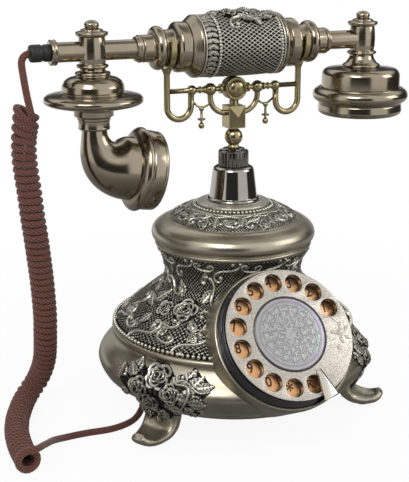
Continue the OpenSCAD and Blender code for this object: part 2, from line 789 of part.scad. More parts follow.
module neck_cones() color("gold") {
    both_sides() on_handset(0) turned(concat(
        [[tube_r + nest, flange_x], [16.6, flange_x], [17.2, flange_x + 0.8], [17.2, flange_end_x - 1.4],
         [16.8, flange_end_x - 0.4], [15, 47], [13, 48], [neck_groove_r, 48.6], [neck_groove_r, 54],
         [neck_groove_r + 0.4, 54.4]],
        [for (p = arc(0, 0, 4, 160, 20, 8)) [neck_ring_r - 4 + p[1], 58.5 + p[0]]],
        [[9.3, 62.8], [9.3, 69.4], [9, 70], [8.2, 70.4], [9.4, 71], [9.4, 72.2], [8.4, 72.8], [8.4, 74.2],
         [tube_r + nest, neck_end_x]]
    ));
}

module handset_tubes() color("silver") {
    on_handset(-barrel_x + 5) difference() {
        cylinder(r = tube_r, h = 2 * (barrel_x - 5));
        translate([0, 0, -1]) cylinder(r = tube_r - 1.2, h = 2 * barrel_x);
    }
    on_handset(-collar_x) difference() {
        cylinder(r = tube_r, h = collar_x - barrel_x - 5);
        translate([0, 0, -1]) cylinder(r = tube_r - 1.2, h = 40);
    }
}

module tee_barrels() color("silver") {
    difference() {
        both_sides() translate([barrel_x, 0, 0]) turned([
            [0, 256], [8.8, 256], [10.4, 256.2], [11, 257.2], [10.4, 258.2], [8.8, 258.6], [9.4, 262],
            [9.6, 267], [9.3, 272], [8.7, 276.6], [0, 276.6]
        ]);
        on_handset(-barrel_x + 5 - nest) cylinder(r = tube_r + nest, h = 2 * (barrel_x - 5 + nest));
        on_handset(-barrel_x - 20) cylinder(r = tube_r + nest, h = 15 + nest);
    }
}

module finials() color("silver") {
    both_sides() translate([barrel_x, 0, 0]) turned(concat(
        [[0, 276.6], [9.4, 276.6], [10.8, 277.6], [11.1, 278.8], [10.4, 279.8], [7.6, 280.2], [7.6, 281.2],
         [5.4, 281.8], [4.2, 282.2]],
        [for (p = arc(0, 0, 1, -30, 80, 8)) [5.1 * p[0], 283.9 + 3.4 * p[1]]], [[0, 287.3]]
    ));
}

module mouth_dome() color("silver") {
    translate([-barrel_x, 0, 0]) turned([
        [0, 256], [8.8, 256], [8.6, 254], [11.6, 253.4], [12.3, 252.4], [11.6, 251.2], [12.6, 250.5],
        [16.2, 249.6], [19.2, 247.6], [21, 244.4], [21.4, 240.6], [20.8, 239.6], [22, 239], [27, 238.6],
        [31.5, 237.8], [33.4, 236.4], [saucer_r, 234.7], [33.4, 233], [31, 231.6], [26, 230.4], [20, 229.2],
        [15, 228.6], [13.5, 228], [13.5, 224], [12.8, 223.6], [11.4, 223.2], [11.4, 221.4], [10.7, 221],
        [10.7, 216.6], [11, 215.6], [10.2, elbow_z], [0, elbow_z]
    ]);
}

// Horn that curves from under the saucer towards the front ring
module mouth_elbow() color("silver") {
    forward = [cos(mouth_tilt), 0, -sin(mouth_tilt)];
    top = [-barrel_x, 0, elbow_z];
    end = [mouth_x, 0, mouth_z] - 5.2 * forward;
    bend = [top - [0, 0, 1], top - [0, 0, 17], end - 19 * forward, end - forward];
    steps = 14;
    route = concat([top], [for (i = [0 : steps]) bezier(bend, i / steps)], [end]);
    last = len(route) - 1;
    // The horn widens slowly at first, then fast round the bend
    widths = [for (i = [0 : last]) 8.6 + 13.6 * pow(sin(90 * i / last), 1.7)];
    swept(route, widths, 32);
}

module mouth_cap() color("silver") {
    on_mouth() difference() {
        turned([
            [0, -5.2], [22.4, -5.2], [25.6, -4.4], [27.8, -2.9], [mouth_r - 0.4, -1.4], [mouth_r, 0],
            [mouth_r - 0.4, 1.2], [27.4, 1.8], [27.2, 2.6], [27.7, 3.2], [27.9, 6], [27.7, 10.4], [27.2, 10.6],
            [27.7, 11], [27.6, 12.4], [26.8, 13.2], [25.4, 13.4], [24.4, 12.6], [23.6, 11.2], [0, 11.2]
        ]);
        cylinder(r = 18.1, h = 9.2);
        for (k = [1 : 6]) rotate(k * 60) translate([9, 0, 8]) cylinder(r = 1.2, h = 5, $fn = 24);
        translate([0, 0, 8]) cylinder(r = 1.2, h = 5, $fn = 24);
    }
}

module ear_cup() color("silver") {
    difference() {
        translate([barrel_x, 0, 0]) turned(concat(
            [[0, 256], [8.8, 256], [8.8, 255], [9.6, 252.6], [11.4, 250], [13.6, 248.6], [14.2, 247.8],
             [13.6, 247.2], [14.6, 246.8], [20, 246.2]],
            arc(23.6, 240.4, 5.4, 80, 0, 6), [[29, 231.2], [28.4, 230.6], [0, 230.6]]
        ));
        translate([barrel_x, 0, 230]) cylinder(r = 24, h = 12);
    }
}

module ear_cap() color("silver") {
    difference() {
        translate([barrel_x, 0, 0]) turned(concat(
            [[0, 230.6], [28.4, 230.6], [29.6, 231.6], [31.6, 231.4]],
            arc(ear_r - 5, 226.2, 5, 75, -75, 8),
            [[31.6, 220.6], [31.2, 219.8], [31.7, 219], [31.9, 213], [31, 210.4], [28.6, 208.6], [24, 207.6],
             [12, 208.4], [0, 208.8]]
        ));
        translate([barrel_x, 0, 211.6]) cylinder(r = 24, h = 22);
        for (k = [1 : 6]) translate([barrel_x, 0, 200]) rotate(k * 60) translate([9, 0, 0])
            cylinder(r = 1.2, h = 14, $fn = 24);
        translate([barrel_x, 0, 200]) cylinder(r = 1.2, h = 14, $fn = 24);
    }
}

// Microphone behind the mouthpiece's grille, receiver behind the ear cap's
module capsules() color("dimgray") {
    on_mouth() translate([0, 0, 0.1]) cylinder(r = 18, h = 9);
    translate([barrel_x, 0, 211.7]) cylinder(r = 23.6, h = 12);
}

module cord_collar() color("gold") {
    on_handset(-relief_x) turned([
        [cord_r + 1, 0], [7.4, 0], [8.3, 0.4], [8.6, 1.2], [8, 2.1], [8, 2.5], [8.5, 3.1], [8.6, 3.8],
        [8, 4.5], [tube_r - 0.4, relief_x - collar_x], [cord_r + 1, relief_x - collar_x]
    ]);
}

module strain_relief() color("black") {
    on_handset(-relief_end_x) turned([
        [0, 0], [4.4, 0], [5.3, 0.7], [5.7, 2.2], [5.7, 5.6], [5.2, 7.1], [4.7, 8], [5.3, 9.2], [6.4, 10.6],
        [7.2, 12.2], [7.3, relief_end_x - relief_x], [0, relief_end_x - relief_x]
    ]);
}

// ---------- cord ----------

module cord_lead_top() color("brown") {
    swept(lead_top_path, [for (p = lead_top_path) cord_r], 8);
}

module cord_coil() color("brown") {
    swept(coil_path, [for (p = coil_path) coil_r], 12);
}

module cord_lead_bottom() color("brown") {
    swept(lead_bottom_path, [for (p = lead_bottom_path) cord_r], 8, [0, 0, 1]);
}

lower_casing();
skirt_casing();
lid();
column_flange();
column_cone();
knurled_nut();
feet();
rose_clusters();
foot_pads();
base_plate();
plate_screws();
dial_housing();
dial_bezel();
number_plate();
finger_stop();
dial_frame();
return_spring();
circuit_board();
bell_gongs();
ringer_coil();
line_jack();
cord_inlet();
hook_switch();
hook_spring();
finger_wheel();
hub_ring();
hub_disc();
wheel_shaft();
drive_gear();
governor();
pulse_cam();
clapper();
hook_lever();
cradle_stem();
cradle_post();
cradle_block();
centre_boss();
cradle_bar();
hanger_loops();
cradle_forks();
cradle_arms();
grip_sleeve();
grip_relief();
end_caps();
neck_cones();
handset_tubes();
tee_barrels();
finials();
mouth_dome();
mouth_elbow();
mouth_cap();
ear_cup();
ear_cap();
capsules();
cord_collar();
strain_relief();
cord_lead_top();
cord_coil();
cord_lead_bottom();
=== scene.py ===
"""Antique-style rotary telephone: ornament, finishes, digits, cord and studio stage."""
import bisect
import json
import math

import bmesh
import bpy
import numpy as np
from bpy.props import FloatProperty, FloatVectorProperty, IntProperty, PointerProperty
from bpy.types import Operator, Panel, PropertyGroup
from mathutils import Matrix, Vector

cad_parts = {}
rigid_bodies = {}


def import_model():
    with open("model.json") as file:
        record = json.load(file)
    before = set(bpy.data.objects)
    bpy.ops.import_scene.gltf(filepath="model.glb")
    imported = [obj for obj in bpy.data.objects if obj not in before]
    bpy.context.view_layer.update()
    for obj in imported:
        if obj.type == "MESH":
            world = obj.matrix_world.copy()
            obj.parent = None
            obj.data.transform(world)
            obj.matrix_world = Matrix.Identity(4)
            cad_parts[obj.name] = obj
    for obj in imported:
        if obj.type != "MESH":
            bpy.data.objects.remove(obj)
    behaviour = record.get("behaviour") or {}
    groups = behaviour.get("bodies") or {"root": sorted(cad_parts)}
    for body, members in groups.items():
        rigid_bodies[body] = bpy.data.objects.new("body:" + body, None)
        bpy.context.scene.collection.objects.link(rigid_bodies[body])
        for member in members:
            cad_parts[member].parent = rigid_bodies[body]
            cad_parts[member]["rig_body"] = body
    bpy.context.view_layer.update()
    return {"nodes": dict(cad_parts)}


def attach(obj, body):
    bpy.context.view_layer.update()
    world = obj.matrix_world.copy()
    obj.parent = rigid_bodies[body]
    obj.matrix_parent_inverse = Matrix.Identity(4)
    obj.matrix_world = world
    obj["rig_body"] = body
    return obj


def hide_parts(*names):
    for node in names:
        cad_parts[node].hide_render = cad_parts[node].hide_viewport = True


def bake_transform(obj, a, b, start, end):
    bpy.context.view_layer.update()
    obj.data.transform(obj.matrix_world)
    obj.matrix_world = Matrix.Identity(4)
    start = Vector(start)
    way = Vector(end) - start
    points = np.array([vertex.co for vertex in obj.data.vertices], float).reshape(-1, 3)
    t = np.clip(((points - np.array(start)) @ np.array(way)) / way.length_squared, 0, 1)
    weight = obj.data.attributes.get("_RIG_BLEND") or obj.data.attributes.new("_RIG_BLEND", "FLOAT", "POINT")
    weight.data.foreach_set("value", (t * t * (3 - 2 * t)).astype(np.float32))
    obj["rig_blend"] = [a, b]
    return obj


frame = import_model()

bl_info = {
    "name": "Antique Rotary Telephone",
    "version": (1, 0, 0),
    "blender": (4, 5, 0),
    "location": "View3D > Sidebar > Telephone",
    "description": "Builds the ornament, finishes, cord and stage of an antique-style rotary telephone",
    "category": "Add Mesh",
}

MM = 0.001

# Places that the pieces share, in millimetres
DIAL_CENTRE = Vector((0, -91.2, 82.5))
DIAL_LEAN = math.radians(37)
HOLE_CIRCLE = 37.3
HOLE_R = 6.4
FIRST_HOLE = 67.8
HOLE_STEP = 23.6
DIGITS = "1234567890*R"
STOP_ANGLE = 156
HANDSET_Z = 267
BARREL_X = 104.4
FOOT_ANGLES = (90, 210, 330)
MOUTH_CENTRE = Vector((-74.3, 0, 184.4))
MOUTH_TILT = math.radians(10.4)

GRIP_HALF = 31
WHEEL_R = 46.3
PLATE_R = 45.2

# The digits: their height in the dial, their sizes, how they are squeezed and moved from their holes, and
# how far their strokes are thickened (some larger values tear the 6 or the 9)
DIGIT_HEIGHT = -6.16
DIGIT_SIZE = 10.2
OTHER_SIZES = {"*": 14, "R": 8}
DIGIT_SQUEEZE = (0.86, 0.96, 1, 1)
DIGIT_SHIFT = (-0.6, 1.8)
DIGIT_WEIGHT = 0.20

# How many strands or beads there are round the whole of a piece
WEAVE_STRANDS = 138
GRIP_STRANDS = 46
BEAD_COUNT = 141
LID_BEAD_COUNT = 60

# Level directions from the telephone towards the camera, and to the camera's right
FRONT = (-0.406, -0.914, 0)
RIGHT = (0.914, -0.406, 0)

# Camera: degrees round from -Y towards -X and degrees up, what it looks at and from how far, in metres,
# and its lens in millimetres
CAMERA_SWING = 23.94
CAMERA_RISE = 15.93
CAMERA_TARGET = (-0.02283, 0, 0.12642)
CAMERA_DISTANCE = 0.7968
CAMERA_LENS = 81.76

# The drum that runs back from the dial into the body: depths of its two ends, and how far it shifts
DRUM_FRONT = 11.2
DRUM_DEPTH = 17
DRUM_SHIFT = (0, 29, -15.4)
DRUM_CUT = 48.6

# Outlines of the turned shells, as (radius, height)
CASING = [
    (78, 19), (82.5, 19), (83.5, 19.8), (83.7, 21), (83.5, 22.4), (82.7, 23.0), (82.9, 23.6), (86, 24.2),
    (90.5, 25.2), (93.6, 26.8), (96.8, 30), (99.3, 34.5), (100.7, 39), (100.1, 42), (98.9, 44.4),
    (97.3, 46.5), (93.8, 50.5), (90.8, 54.5), (89, 58), (88.9, 59.4), (89.9, 60.2), (90.1, 61.5),
    (89.7, 62.8), (88.4, 63.8), (86, 64.2),
]
SKIRT = [
    (87.2, 63.6), (87.4, 65.2), (85.6, 66.8), (84, 68), (80.6, 71), (75.2, 76), (68.8, 82), (61.2, 88),
    (54, 93.5), (50.6, 98), (49.6, 103), (49.6, 107.5), (50.8, 113), (52.4, 117.4), (54.2, 120.4),
    (56, 123.6),
]
LID = [
    (50, 117.4), (51.6, 117.4), (52.2, 118.4), (54, 121), (55.3, 123.4), (56.6, 123.5), (57.4, 124.6),
    (57.4, 125.9), (56.2, 126.8), (56.4, 127.6), (58.2, 128.4), (59.4, 130.2), (59.8, 132.6), (59.3, 135.2),
    (57.8, 137.8), (55, 140), (51.5, 141.8), (48.2, 142.6), (47, 142.5), (46.4, 143.1), (42, 146),
    (36, 149.2), (30, 151.2), (27, 152),
]
DOME = LID[-5:]

# The surface the rose sprays lie on: it bulges over the root of each foot
SPRAY = [(88, 5.8), (88.6, 10), (89.6, 14), (91.2, 18), (93.2, 22.2), (95.2, 26.3), *CASING[10:]]

# The cord: points along its middle, in millimetres. The coil's are the same as in the part's
# source. The leads' are not: next to the coil they are up to 6.1 mm (top) and 4.2 mm (bottom) away from it
LEAD_TOP = [
    (-146.4, 0, 267), (-148.6, 0, 266.7), (-150.9, 0, 265.3), (-152.4, -0.2, 262.8), (-152.7, -0.5, 259.4),
    (-152.2, -2, 252.2), (-151.4, -4, 242.7), (-150.3, -5.5, 234.6), (-149.5, -5.9, 230),
]
COIL = [
    (-151, 0, 230), (-151, 0, 227), (-153, 0, 214), (-153.6, 0, 202), (-152.9, 0, 190), (-151.3, 0, 176),
    (-149.7, 0, 158), (-147.5, 2, 143), (-145, 6, 127), (-142.6, 10, 111), (-140.8, 13.5, 95),
    (-139.4, 17, 80), (-138.7, 21, 66), (-137.6, 26.5, 54), (-136.8, 32.5, 42.5), (-137.8, 38, 31.5),
    (-141.3, 42, 21), (-146.5, 42.5, 13.8), (-151.8, 37.5, 10), (-156.5, 29, 8.8), (-160.8, 19, 8.75),
    (-164.3, 10.5, 8.75), (-167.5, 0.5, 8.75), (-170, -8, 8.75), (-172.1, -18, 8.75), (-173.6, -28, 8.75),
    (-174.6, -38, 8.75), (-175, -48, 8.75), (-175, -60, 8.75),
]
LEAD_BOTTOM = [
    (-171.5, -60.4, 17.5), (-167.5, -57.5, 16.6), (-163, -51.5, 14.8), (-158, -44, 12),
    (-152.5, -35.5, 8.8), (-147, -29, 6), (-141.5, -24.5, 3.9), (-136, -21.8, 2.7), (-130, -20.9, 2.4),
    (-121.3, -20.9, 2.4), (-110, -21.8, 2.4), (-101.4, -21.2, 2.4), (-93, -18.5, 2.4), (-85.8, -14.6, 2.6),
    (-80, -9.6, 3.6), (-76.4, -5.8, 5.2), (-72.8, -2.7, 7.5), (-69.2, -0.8, 9.2), (-65, 0, 10),
]


# ---------- settings a user would change ----------

def colour(name, text, default):
    """A colour property, given as its sRGB bytes."""
    linear = [((c / 255 + 0.055) / 1.055) ** 2.4 if c > 10 else c / 255 / 12.92 for c in default]
    return FloatVectorProperty(
        name=name, description=text, subtype="COLOR", size=3, min=0, max=1, default=linear
    )


def length(name, text, default):
    """A length property, given in millimetres."""
    return FloatProperty(name=name, description=text, subtype="DISTANCE", unit="LENGTH", default=default * MM)


class PhoneSizes(PropertyGroup):
    """Sizes of the ornament and the cord."""

    bead_r: length("Bead radius", "Radius of one bead of the row under the skirt", 1.5)
    weave_gap: length("Weave spacing", "Rise of the woven strands from one crossing to the next", 3.1)
    weave_h: length("Weave height", "How far the woven strands stand proud", 0.8)
    mesh_gap: length("Grip mesh spacing", "Length of the diamonds of the grip", 4.3)
    mesh_h: length("Grip mesh height", "How far the grip's lines stand proud", 0.5)
    cord_r: length("Cord radius", "Radius of the braided cord", 2.4)
    coil_r: length("Coil radius", "Distance from the coil's axis to the cord's middle", 6.3)
    coil_pitch: length("Coil pitch", "Distance between neighbouring turns of the coil", 5.05)
    turn_points: IntProperty(
        name="Points per turn", description="Rings of the cord in one turn", default=18, min=12
    )


class PhoneColours(PropertyGroup):
    """Colours of the finishes."""

    champagne: colour("Champagne metal", "Smooth parts of the base", (180, 172, 153))
    rubbed: colour("Rubbed metal", "High points of the ornament", (212, 208, 194))
    patina: colour("Patina", "Hollows of the ornament", (24, 21, 18))
    pewter: colour("Antique pewter", "Tubes, cups and caps of the handset", (162, 151, 132))
    gold: colour("Old gold", "Turned rings and the cradle", (172, 159, 122))
    chrome: colour("Dark chrome", "Column and knurled nut", (168, 163, 156))
    silver: colour("Bright silver", "Dial housing and finger stop", (205, 200, 188))
    wheel: colour("Speckled metal", "Finger wheel", (200, 194, 183))
    copper: colour("Copper", "Number plate", (228, 172, 122))
    hub: colour("Hub plate", "Plate in the middle of the wheel", (178, 177, 178))
    braid: colour("Braid", "Threads of the cord", (114, 69, 57))


# ---------- meshes ----------

FINISHES = {}


def shown(name, bm, finish, body, hides=(), sharp=40, closed=True):
    """Turns a bmesh into a piece in its place, which rides on a body and may stand for CAD nodes."""
    if closed:
        bmesh.ops.recalc_face_normals(bm, faces=bm.faces[:])
    mesh = bpy.data.meshes.new(name)
    bm.to_mesh(mesh)
    bm.free()
    mesh.shade_smooth()
    mesh.set_sharp_from_angle(angle=math.radians(sharp))
    mesh.materials.append(FINISHES[finish])
    piece = bpy.data.objects.new(name, mesh)
    bpy.context.scene.collection.objects.link(piece)
    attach(piece, body)
    if hides:
        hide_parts(*hides)
    return piece


def laid(name, bm, finish, body, hides=()):
    """Shows a piece made of open relief sheets, which is smooth everywhere."""
    return shown(name, bm, finish, body, hides, sharp=180, closed=False)


def turned_piece(name, outline, finish, body, hides=(), soft=0.5, places=(Matrix(),), steps=128):
    """Shows a piece turned from one outline with softened corners, once at each of its places."""
    bm = bmesh.new()
    for place in places:
        lathe(bm, softened(outline, soft), place, steps)
    return shown(name, bm, finish, body, hides)


def softened(outline, reach=0.5, steps=3):
    """Rounds each corner of an outline, so that its edge catches the light."""
    points = [Vector(p) for p in outline]
    result = [points[0]]
    for before, here, after in zip(points, points[1:], points[2:]):
        cut = min(reach, (here - before).length * 0.45, (after - here).length * 0.45)
        start = here + (before - here).normalized() * cut
        end = here + (after - here).normalized() * cut
        for i in range(steps + 1):
            t = i / steps
            result.append(start * (1 - t) ** 2 + here * 2 * t * (1 - t) + end * t * t)
    result.append(points[-1])
    return result


def arc(x, y, r, first, last, steps=8):
    """Points of an arc, in degrees."""
    angles = [math.radians(first + (last - first) * i / steps) for i in range(steps + 1)]
    return [(x + r * math.cos(a), y + r * math.sin(a)) for a in angles]


def add(bm, part, matrix=Matrix()):
    """Joins one bmesh to another, placed by a matrix."""
    part.transform(matrix)
    mesh = bpy.data.meshes.new("joined")
    part.to_mesh(mesh)
    part.free()
    bm.from_mesh(mesh)
    bpy.data.meshes.remove(mesh)


def lathe(bm, outline, matrix=Matrix(), steps=128, closed=True):
    """Turns an outline of (radius, height) in millimetres about Z and adds it to bm."""
    part = bmesh.new()
    verts = [part.verts.new((r * MM, 0, z * MM)) for r, z in outline]
    edges = [part.edges.new(pair) for pair in zip(verts, verts[1:])]
    if closed and outline[0][0] > 0.01 and outline[-1][0] > 0.01:
        edges.append(part.edges.new((verts[-1], verts[0])))
    bmesh.ops.spin(
        part, geom=verts + edges, cent=(0, 0, 0), axis=(0, 0, 1), angle=math.tau, steps=steps, use_merge=True
    )
    bmesh.ops.remove_doubles(part, verts=part.verts[:], dist=1e-7)
    bmesh.ops.dissolve_degenerate(part, edges=part.edges[:], dist=1e-8)
    bmesh.ops.recalc_face_normals(part, faces=part.faces[:])
    add(bm, part, matrix)


def mapped_grid(bm, across, along, place, relief=None, marks=()):
    """Adds a grid whose points go where place(u, v) says, in metres; relief(u, v) is how rubbed they are."""
    layer = bm.verts.layers.float.get("relief") or bm.verts.layers.float.new("relief")
    made = bmesh.ops.create_grid(bm, x_segments=across, y_segments=along, size=0.5)["verts"]
    for vert in made:
        u, v = vert.co.x + 0.5, vert.co.y + 0.5
        vert.co = place(u, v)
        vert[layer] = relief(u, v) if relief else 1.0
        for mark, value in marks:
            vert[mark] = value(u, v)
    return made


def tube(bm, points, radius, sides=16, ends=True, marks=()):
    """Adds a round tube along points in millimetres; radius is a number or a function of 0 to 1."""
    path = [Vector(p) * MM for p in points]
    last = len(path) - 1
    headings = [(path[min(i + 1, last)] - path[max(i - 1, 0)]).normalized() for i in range(last + 1)]
    side = headings[0].orthogonal().normalized()
    sides_at = []
    for heading in headings:
        side = (side - heading * side.dot(heading)).normalized()
        sides_at.append(side)
    size = radius if callable(radius) else lambda t: radius

    def place(u, v):
        i = min(last, round(v * last))
        turn = math.tau * u
        out = sides_at[i] * math.cos(turn) + headings[i].cross(sides_at[i]) * math.sin(turn)
        return path[i] + out * size(i / last) * MM

    made = mapped_grid(bm, sides, last, place, marks=marks)
    bmesh.ops.remove_doubles(bm, verts=made, dist=1e-8)
    made = [v for v in made if v.is_valid]
    if ends:
        rim = list({e for v in made for e in v.link_edges if e.is_boundary})
        bmesh.ops.holes_fill(bm, edges=rim, sides=sides)


def bead(bm, centre, r, detail=2):
    """Adds a small ball, centre and radius in millimetres."""
    place = Matrix.Translation(Vector(centre) * MM)
    bmesh.ops.create_icosphere(bm, subdivisions=detail, radius=r * MM, matrix=place)


def smooth_path(points, steps=6):
    """Points on a smooth curve through the given ones."""
    p = [Vector(q) for q in points]
    p = [p[0] * 2 - p[1], *p, p[-1] * 2 - p[-2]]
    result = []
    for a, b, c, d in zip(p, p[1:], p[2:], p[3:]):
        for i in range(steps):
            t = i / steps
            bend, twist = a * 2 - b * 5 + c * 4 - d, b * 3 - a - c * 3 + d
            result.append((b * 2 + (c - a) * t + bend * t * t + twist * t**3) / 2)
    return [*result, p[-2]]


# ---------- turned shells and the relief laid on them ----------

def grown(mask):
    """A yes-or-no grid whose yes parts have grown by one cell."""
    out = mask.copy()
    out[1:] |= mask[:-1]
    out[:-1] |= mask[1:]
    out[:, 1:] |= mask[:, :-1]
    out[:, :-1] |= mask[:, 1:]
    return out


def draw_all(shape, turn, rows, *shared):
    """Draws one shape of a relief for each row of its numbers, turned round the shell by turn degrees."""
    for angle, *rest in rows:
        shape(angle + turn, *rest, *shared)


def dense_path(places, steps=24):
    """Many places on a smooth curve through the given ones."""
    return [tuple(p)[:2] for p in smooth_path([(a, b, 0) for a, b in places], steps)]


class Shell:
    """A turned surface. A place on it is an angle in degrees and a distance along its outline."""

    def __init__(self, outline, matrix=Matrix()):
        self.points = np.array([tuple(p) for p in outline], float)
        steps = np.hypot(*np.diff(self.points, axis=0).T)
        self.reach = np.concatenate([[0], np.cumsum(steps)])
        self.matrix = np.array(matrix, float)

    def outline_at(self, along):
        """Radius and height at distances along the outline."""
        return (np.interp(along, self.reach, self.points[:, k]) for k in (0, 1))

    def at(self, angle, along, proud=0.0):
        """Places in metres, raised off the surface by proud millimetres."""
        r, z = self.outline_at(along)
        (r0, z0), (r1, z1) = self.outline_at(along - 1.2), self.outline_at(along + 1.2)
        size = np.hypot(r1 - r0, z1 - z0)
        r, z = r + proud * (z1 - z0) / size, z - proud * (r1 - r0) / size
        turn = np.radians(angle)
        local = np.stack([r * np.cos(turn), r * np.sin(turn), z + 0 * turn], -1) * MM
        return local @ self.matrix[:3, :3].T + self.matrix[:3, 3]


class Relief:
    """A raised pattern over a patch of a shell: its height in millimetres and how rubbed each place is, which
    also holds painted shade round raised parts.
    """

    def __init__(self, shell, angles, alongs, cell, ground=0.1):
        self.shell = shell
        widest = np.max(list(shell.outline_at(np.linspace(*alongs, 9)))[0])
        self.angle = np.linspace(*angles, round(math.radians(angles[1] - angles[0]) * widest / cell) + 1)
        self.along = np.linspace(*alongs, round((alongs[1] - alongs[0]) / cell) + 1)
        self.radius = list(shell.outline_at(self.along))[0]
        self.height = np.full((len(self.along), len(self.angle)), float(ground))
        self.rubbed = np.full_like(self.height, 0.1)

    def near(self, angle, along, reach):
        """The part of the patch round a place, and its distances from it across and along."""
        centre = (self.angle[0] + self.angle[-1]) / 2
        angle = centre + (angle - centre + 180) % 360 - 180
        rows = np.searchsorted(self.along, (along - reach, along + reach))
        middle = np.interp(along, self.along, self.radius)
        wide = math.degrees(reach / max(5.0, middle - reach))
        columns = np.searchsorted(self.angle, (angle - wide, angle + wide))
        part = np.s_[rows[0] : rows[1], columns[0] : columns[1]]
        x = np.radians(self.angle[part[1]] - angle)[None, :] * self.radius[part[0], None]
        return part, x, (self.along[part[0]] - along)[:, None] + 0 * x

    def weave(self, strands, gap, height):
        """Strands that cross over and under each other, a number of them round the shell each way."""
        turns = np.radians(self.angle)[None, :] / math.tau * strands
        warp = 0.4 * np.sin(np.radians(self.angle) * 17)[None, :] * np.sin(self.along * 0.23)[:, None]
        rise = (self.along / gap)[:, None] + warp
        one, two = np.cos(math.pi * (turns + rise)), np.cos(math.pi * (turns - rise))
        over = one * two
        lay = np.maximum(one**2 * (0.72 + 0.28 * over), two**2 * (0.72 - 0.28 * over))
        self.height += height * lay
        self.rubbed = np.clip(lay * 1.8 - 0.88, 0, 1)

    def net(self, strands, gap, height):
        """Thin raised lines that cross in diamonds."""
        turns = np.radians(self.angle)[None, :] / math.tau * strands
        rise = (self.along / gap)[:, None]
        lines = [np.abs(np.cos(math.pi * (turns + way * rise))) ** 9 for way in (1, -1)]
        lay = np.maximum(*lines)
        self.height += height * lay
        self.rubbed = np.clip(lay * 1.5 - 0.5, 0, 1)

    def ridge(self, path, width, height, taper=0.5):
        """A rounded ridge along places (angle, along), with a furrow on either side that is sunk a little and
        darkened: patina in the furrow and painted shade beside the ridge.
        """
        far = np.full_like(self.height, 9.0)
        last = max(1, len(path) - 1)
        for i, (angle, along) in enumerate(path):
            half = width / 2 * (1 - taper * abs(2 * i / last - 1) ** 2)
            part, x, y = self.near(angle, along, half * 2.2)
            far[part] = np.minimum(far[part], np.hypot(x, y) / half)
        top = np.sqrt(np.clip(1 - far**2, 0, 1))
        inside = far < 1
        groove_and_shade = np.clip((far - 1) / 0.9, 0, 1)
        sunk = self.height * (0.35 + 0.65 * groove_and_shade)
        self.height = np.where(inside, np.maximum(self.height, height * top), sunk)
        # Beside the ridge the rubbed value falls: patina in the sunk furrow and painted shade.
        self.rubbed = np.where(inside, 0.55 + 0.45 * top, np.minimum(self.rubbed, 0.05 + 0.95 * groove_and_shade))

    def scroll(self, angle, along, size, lean, curl, hand, width, height):
        """A scroll whose ends curl into eyes: an S with hand -1, a C with hand 1. lean is in degrees."""
        steps = 48
        path, turned = [], math.radians(lean)
        for way in (-1, 1):
            x = y = 0.0
            branch = []
            for i in range(steps):
                t = (i + 0.5) / steps
                bend = math.tau * curl * t**1.8 * (way if hand > 0 else 1)
                x += way * math.cos(bend) * size / 2 / steps * (1.25 - 0.5 * t)
                y += way * math.sin(bend) * size / 2 / steps * (1.25 - 0.5 * t)
                branch.append((x, y))
            path = branch[::-1] + path if way < 0 else path + branch
        radius = float(np.interp(along, self.along, self.radius))
        places = []
        for x, y in path:
            across = x * math.cos(turned) - y * math.sin(turned)
            up = x * math.sin(turned) + y * math.cos(turned)
            places.append((angle + math.degrees(across / radius), along + up))
        dense = []
        for (a, b), (c, d) in zip(places, places[1:]):
            dense += [(a + (c - a) * k / 3, b + (d - b) * k / 3) for k in range(3)]
        self.ridge(dense, width, height, taper=0.35)
        for end in (places[0], places[-1]):
            self.boss(*end, width * 0.85, height * 1.05)

    def ring(self, along, width, height):
        """A ridge of even width right round the shell."""
        self.ridge([(a, along) for a in np.arange(0, 360, 0.8)], width, height, taper=0)

    def bare(self, rows):
        """Takes the pattern off some rows and leaves them dark."""
        rows = rows[:, None]
        self.height, self.rubbed = np.where(rows, 0.1, self.height), np.where(rows, 0.0, self.rubbed)

    def boss(self, angle, along, radius, height):
        """A small round boss."""
        part, x, y = self.near(angle, along, radius * 1.6)
        far = np.hypot(x, y) / radius
        top = np.sqrt(np.clip(1 - far**2, 0, 1))
        # Painted shade: a dark ring on the ground round the boss.
        painted_shade_ring = np.minimum(self.rubbed[part], np.clip((far - 1) * 2, 0.05, 1))
        self.height[part] = np.where(far < 1, np.maximum(self.height[part], height * top), self.height[part])
        self.rubbed[part] = np.where(far < 1, 0.45 + 0.55 * top, painted_shade_ring)

    def leaf(self, angle, along, size, wide, lean, height, base=0.0):
        """A pointed leaf that starts at a place and runs the way lean says, with ribs and a raised edge."""
        turned = math.radians(lean)
        part, x, y = self.near(angle, along, size * 1.1)
        t = (x * math.cos(turned) + y * math.sin(turned)) / size
        side = (y * math.cos(turned) - x * math.sin(turned)) / wide * 2
        edge = np.sin(math.pi * np.clip(t, 0, 1) ** 0.8) * (1 + 0.10 * np.cos(t * 40))
        w = np.abs(side) / np.maximum(edge, 1e-3)
        inside = (w < 1) & (t > 0) & (t < 1)
        rib = np.exp(-((side / 0.16) ** 2))
        veins = 0.5 + 0.5 * np.cos(math.tau * (t * 5.5 - np.abs(side) * 1.1))
        bend = 0.75 + 0.25 * np.sin(math.pi * t)
        lift = base + height * (bend * (0.62 + 0.2 * w**3) + 0.26 * rib + 0.16 * veins * (1 - rib))
        shine = np.clip(0.22 + 0.75 * rib + 0.5 * veins * (1 - w * 0.5) + 0.6 * w**5, 0, 1)
        self.height[part] = np.where(inside, np.maximum(self.height[part], lift), self.height[part])
        # Painted shade: a dark ring on the ground round the leaf.
        painted_shade_ring = (w < 1.35) & (t > -0.06) & (t < 1.06)
        self.rubbed[part] = np.where(inside, shine, np.where(painted_shade_ring, 0.03, self.rubbed[part]))

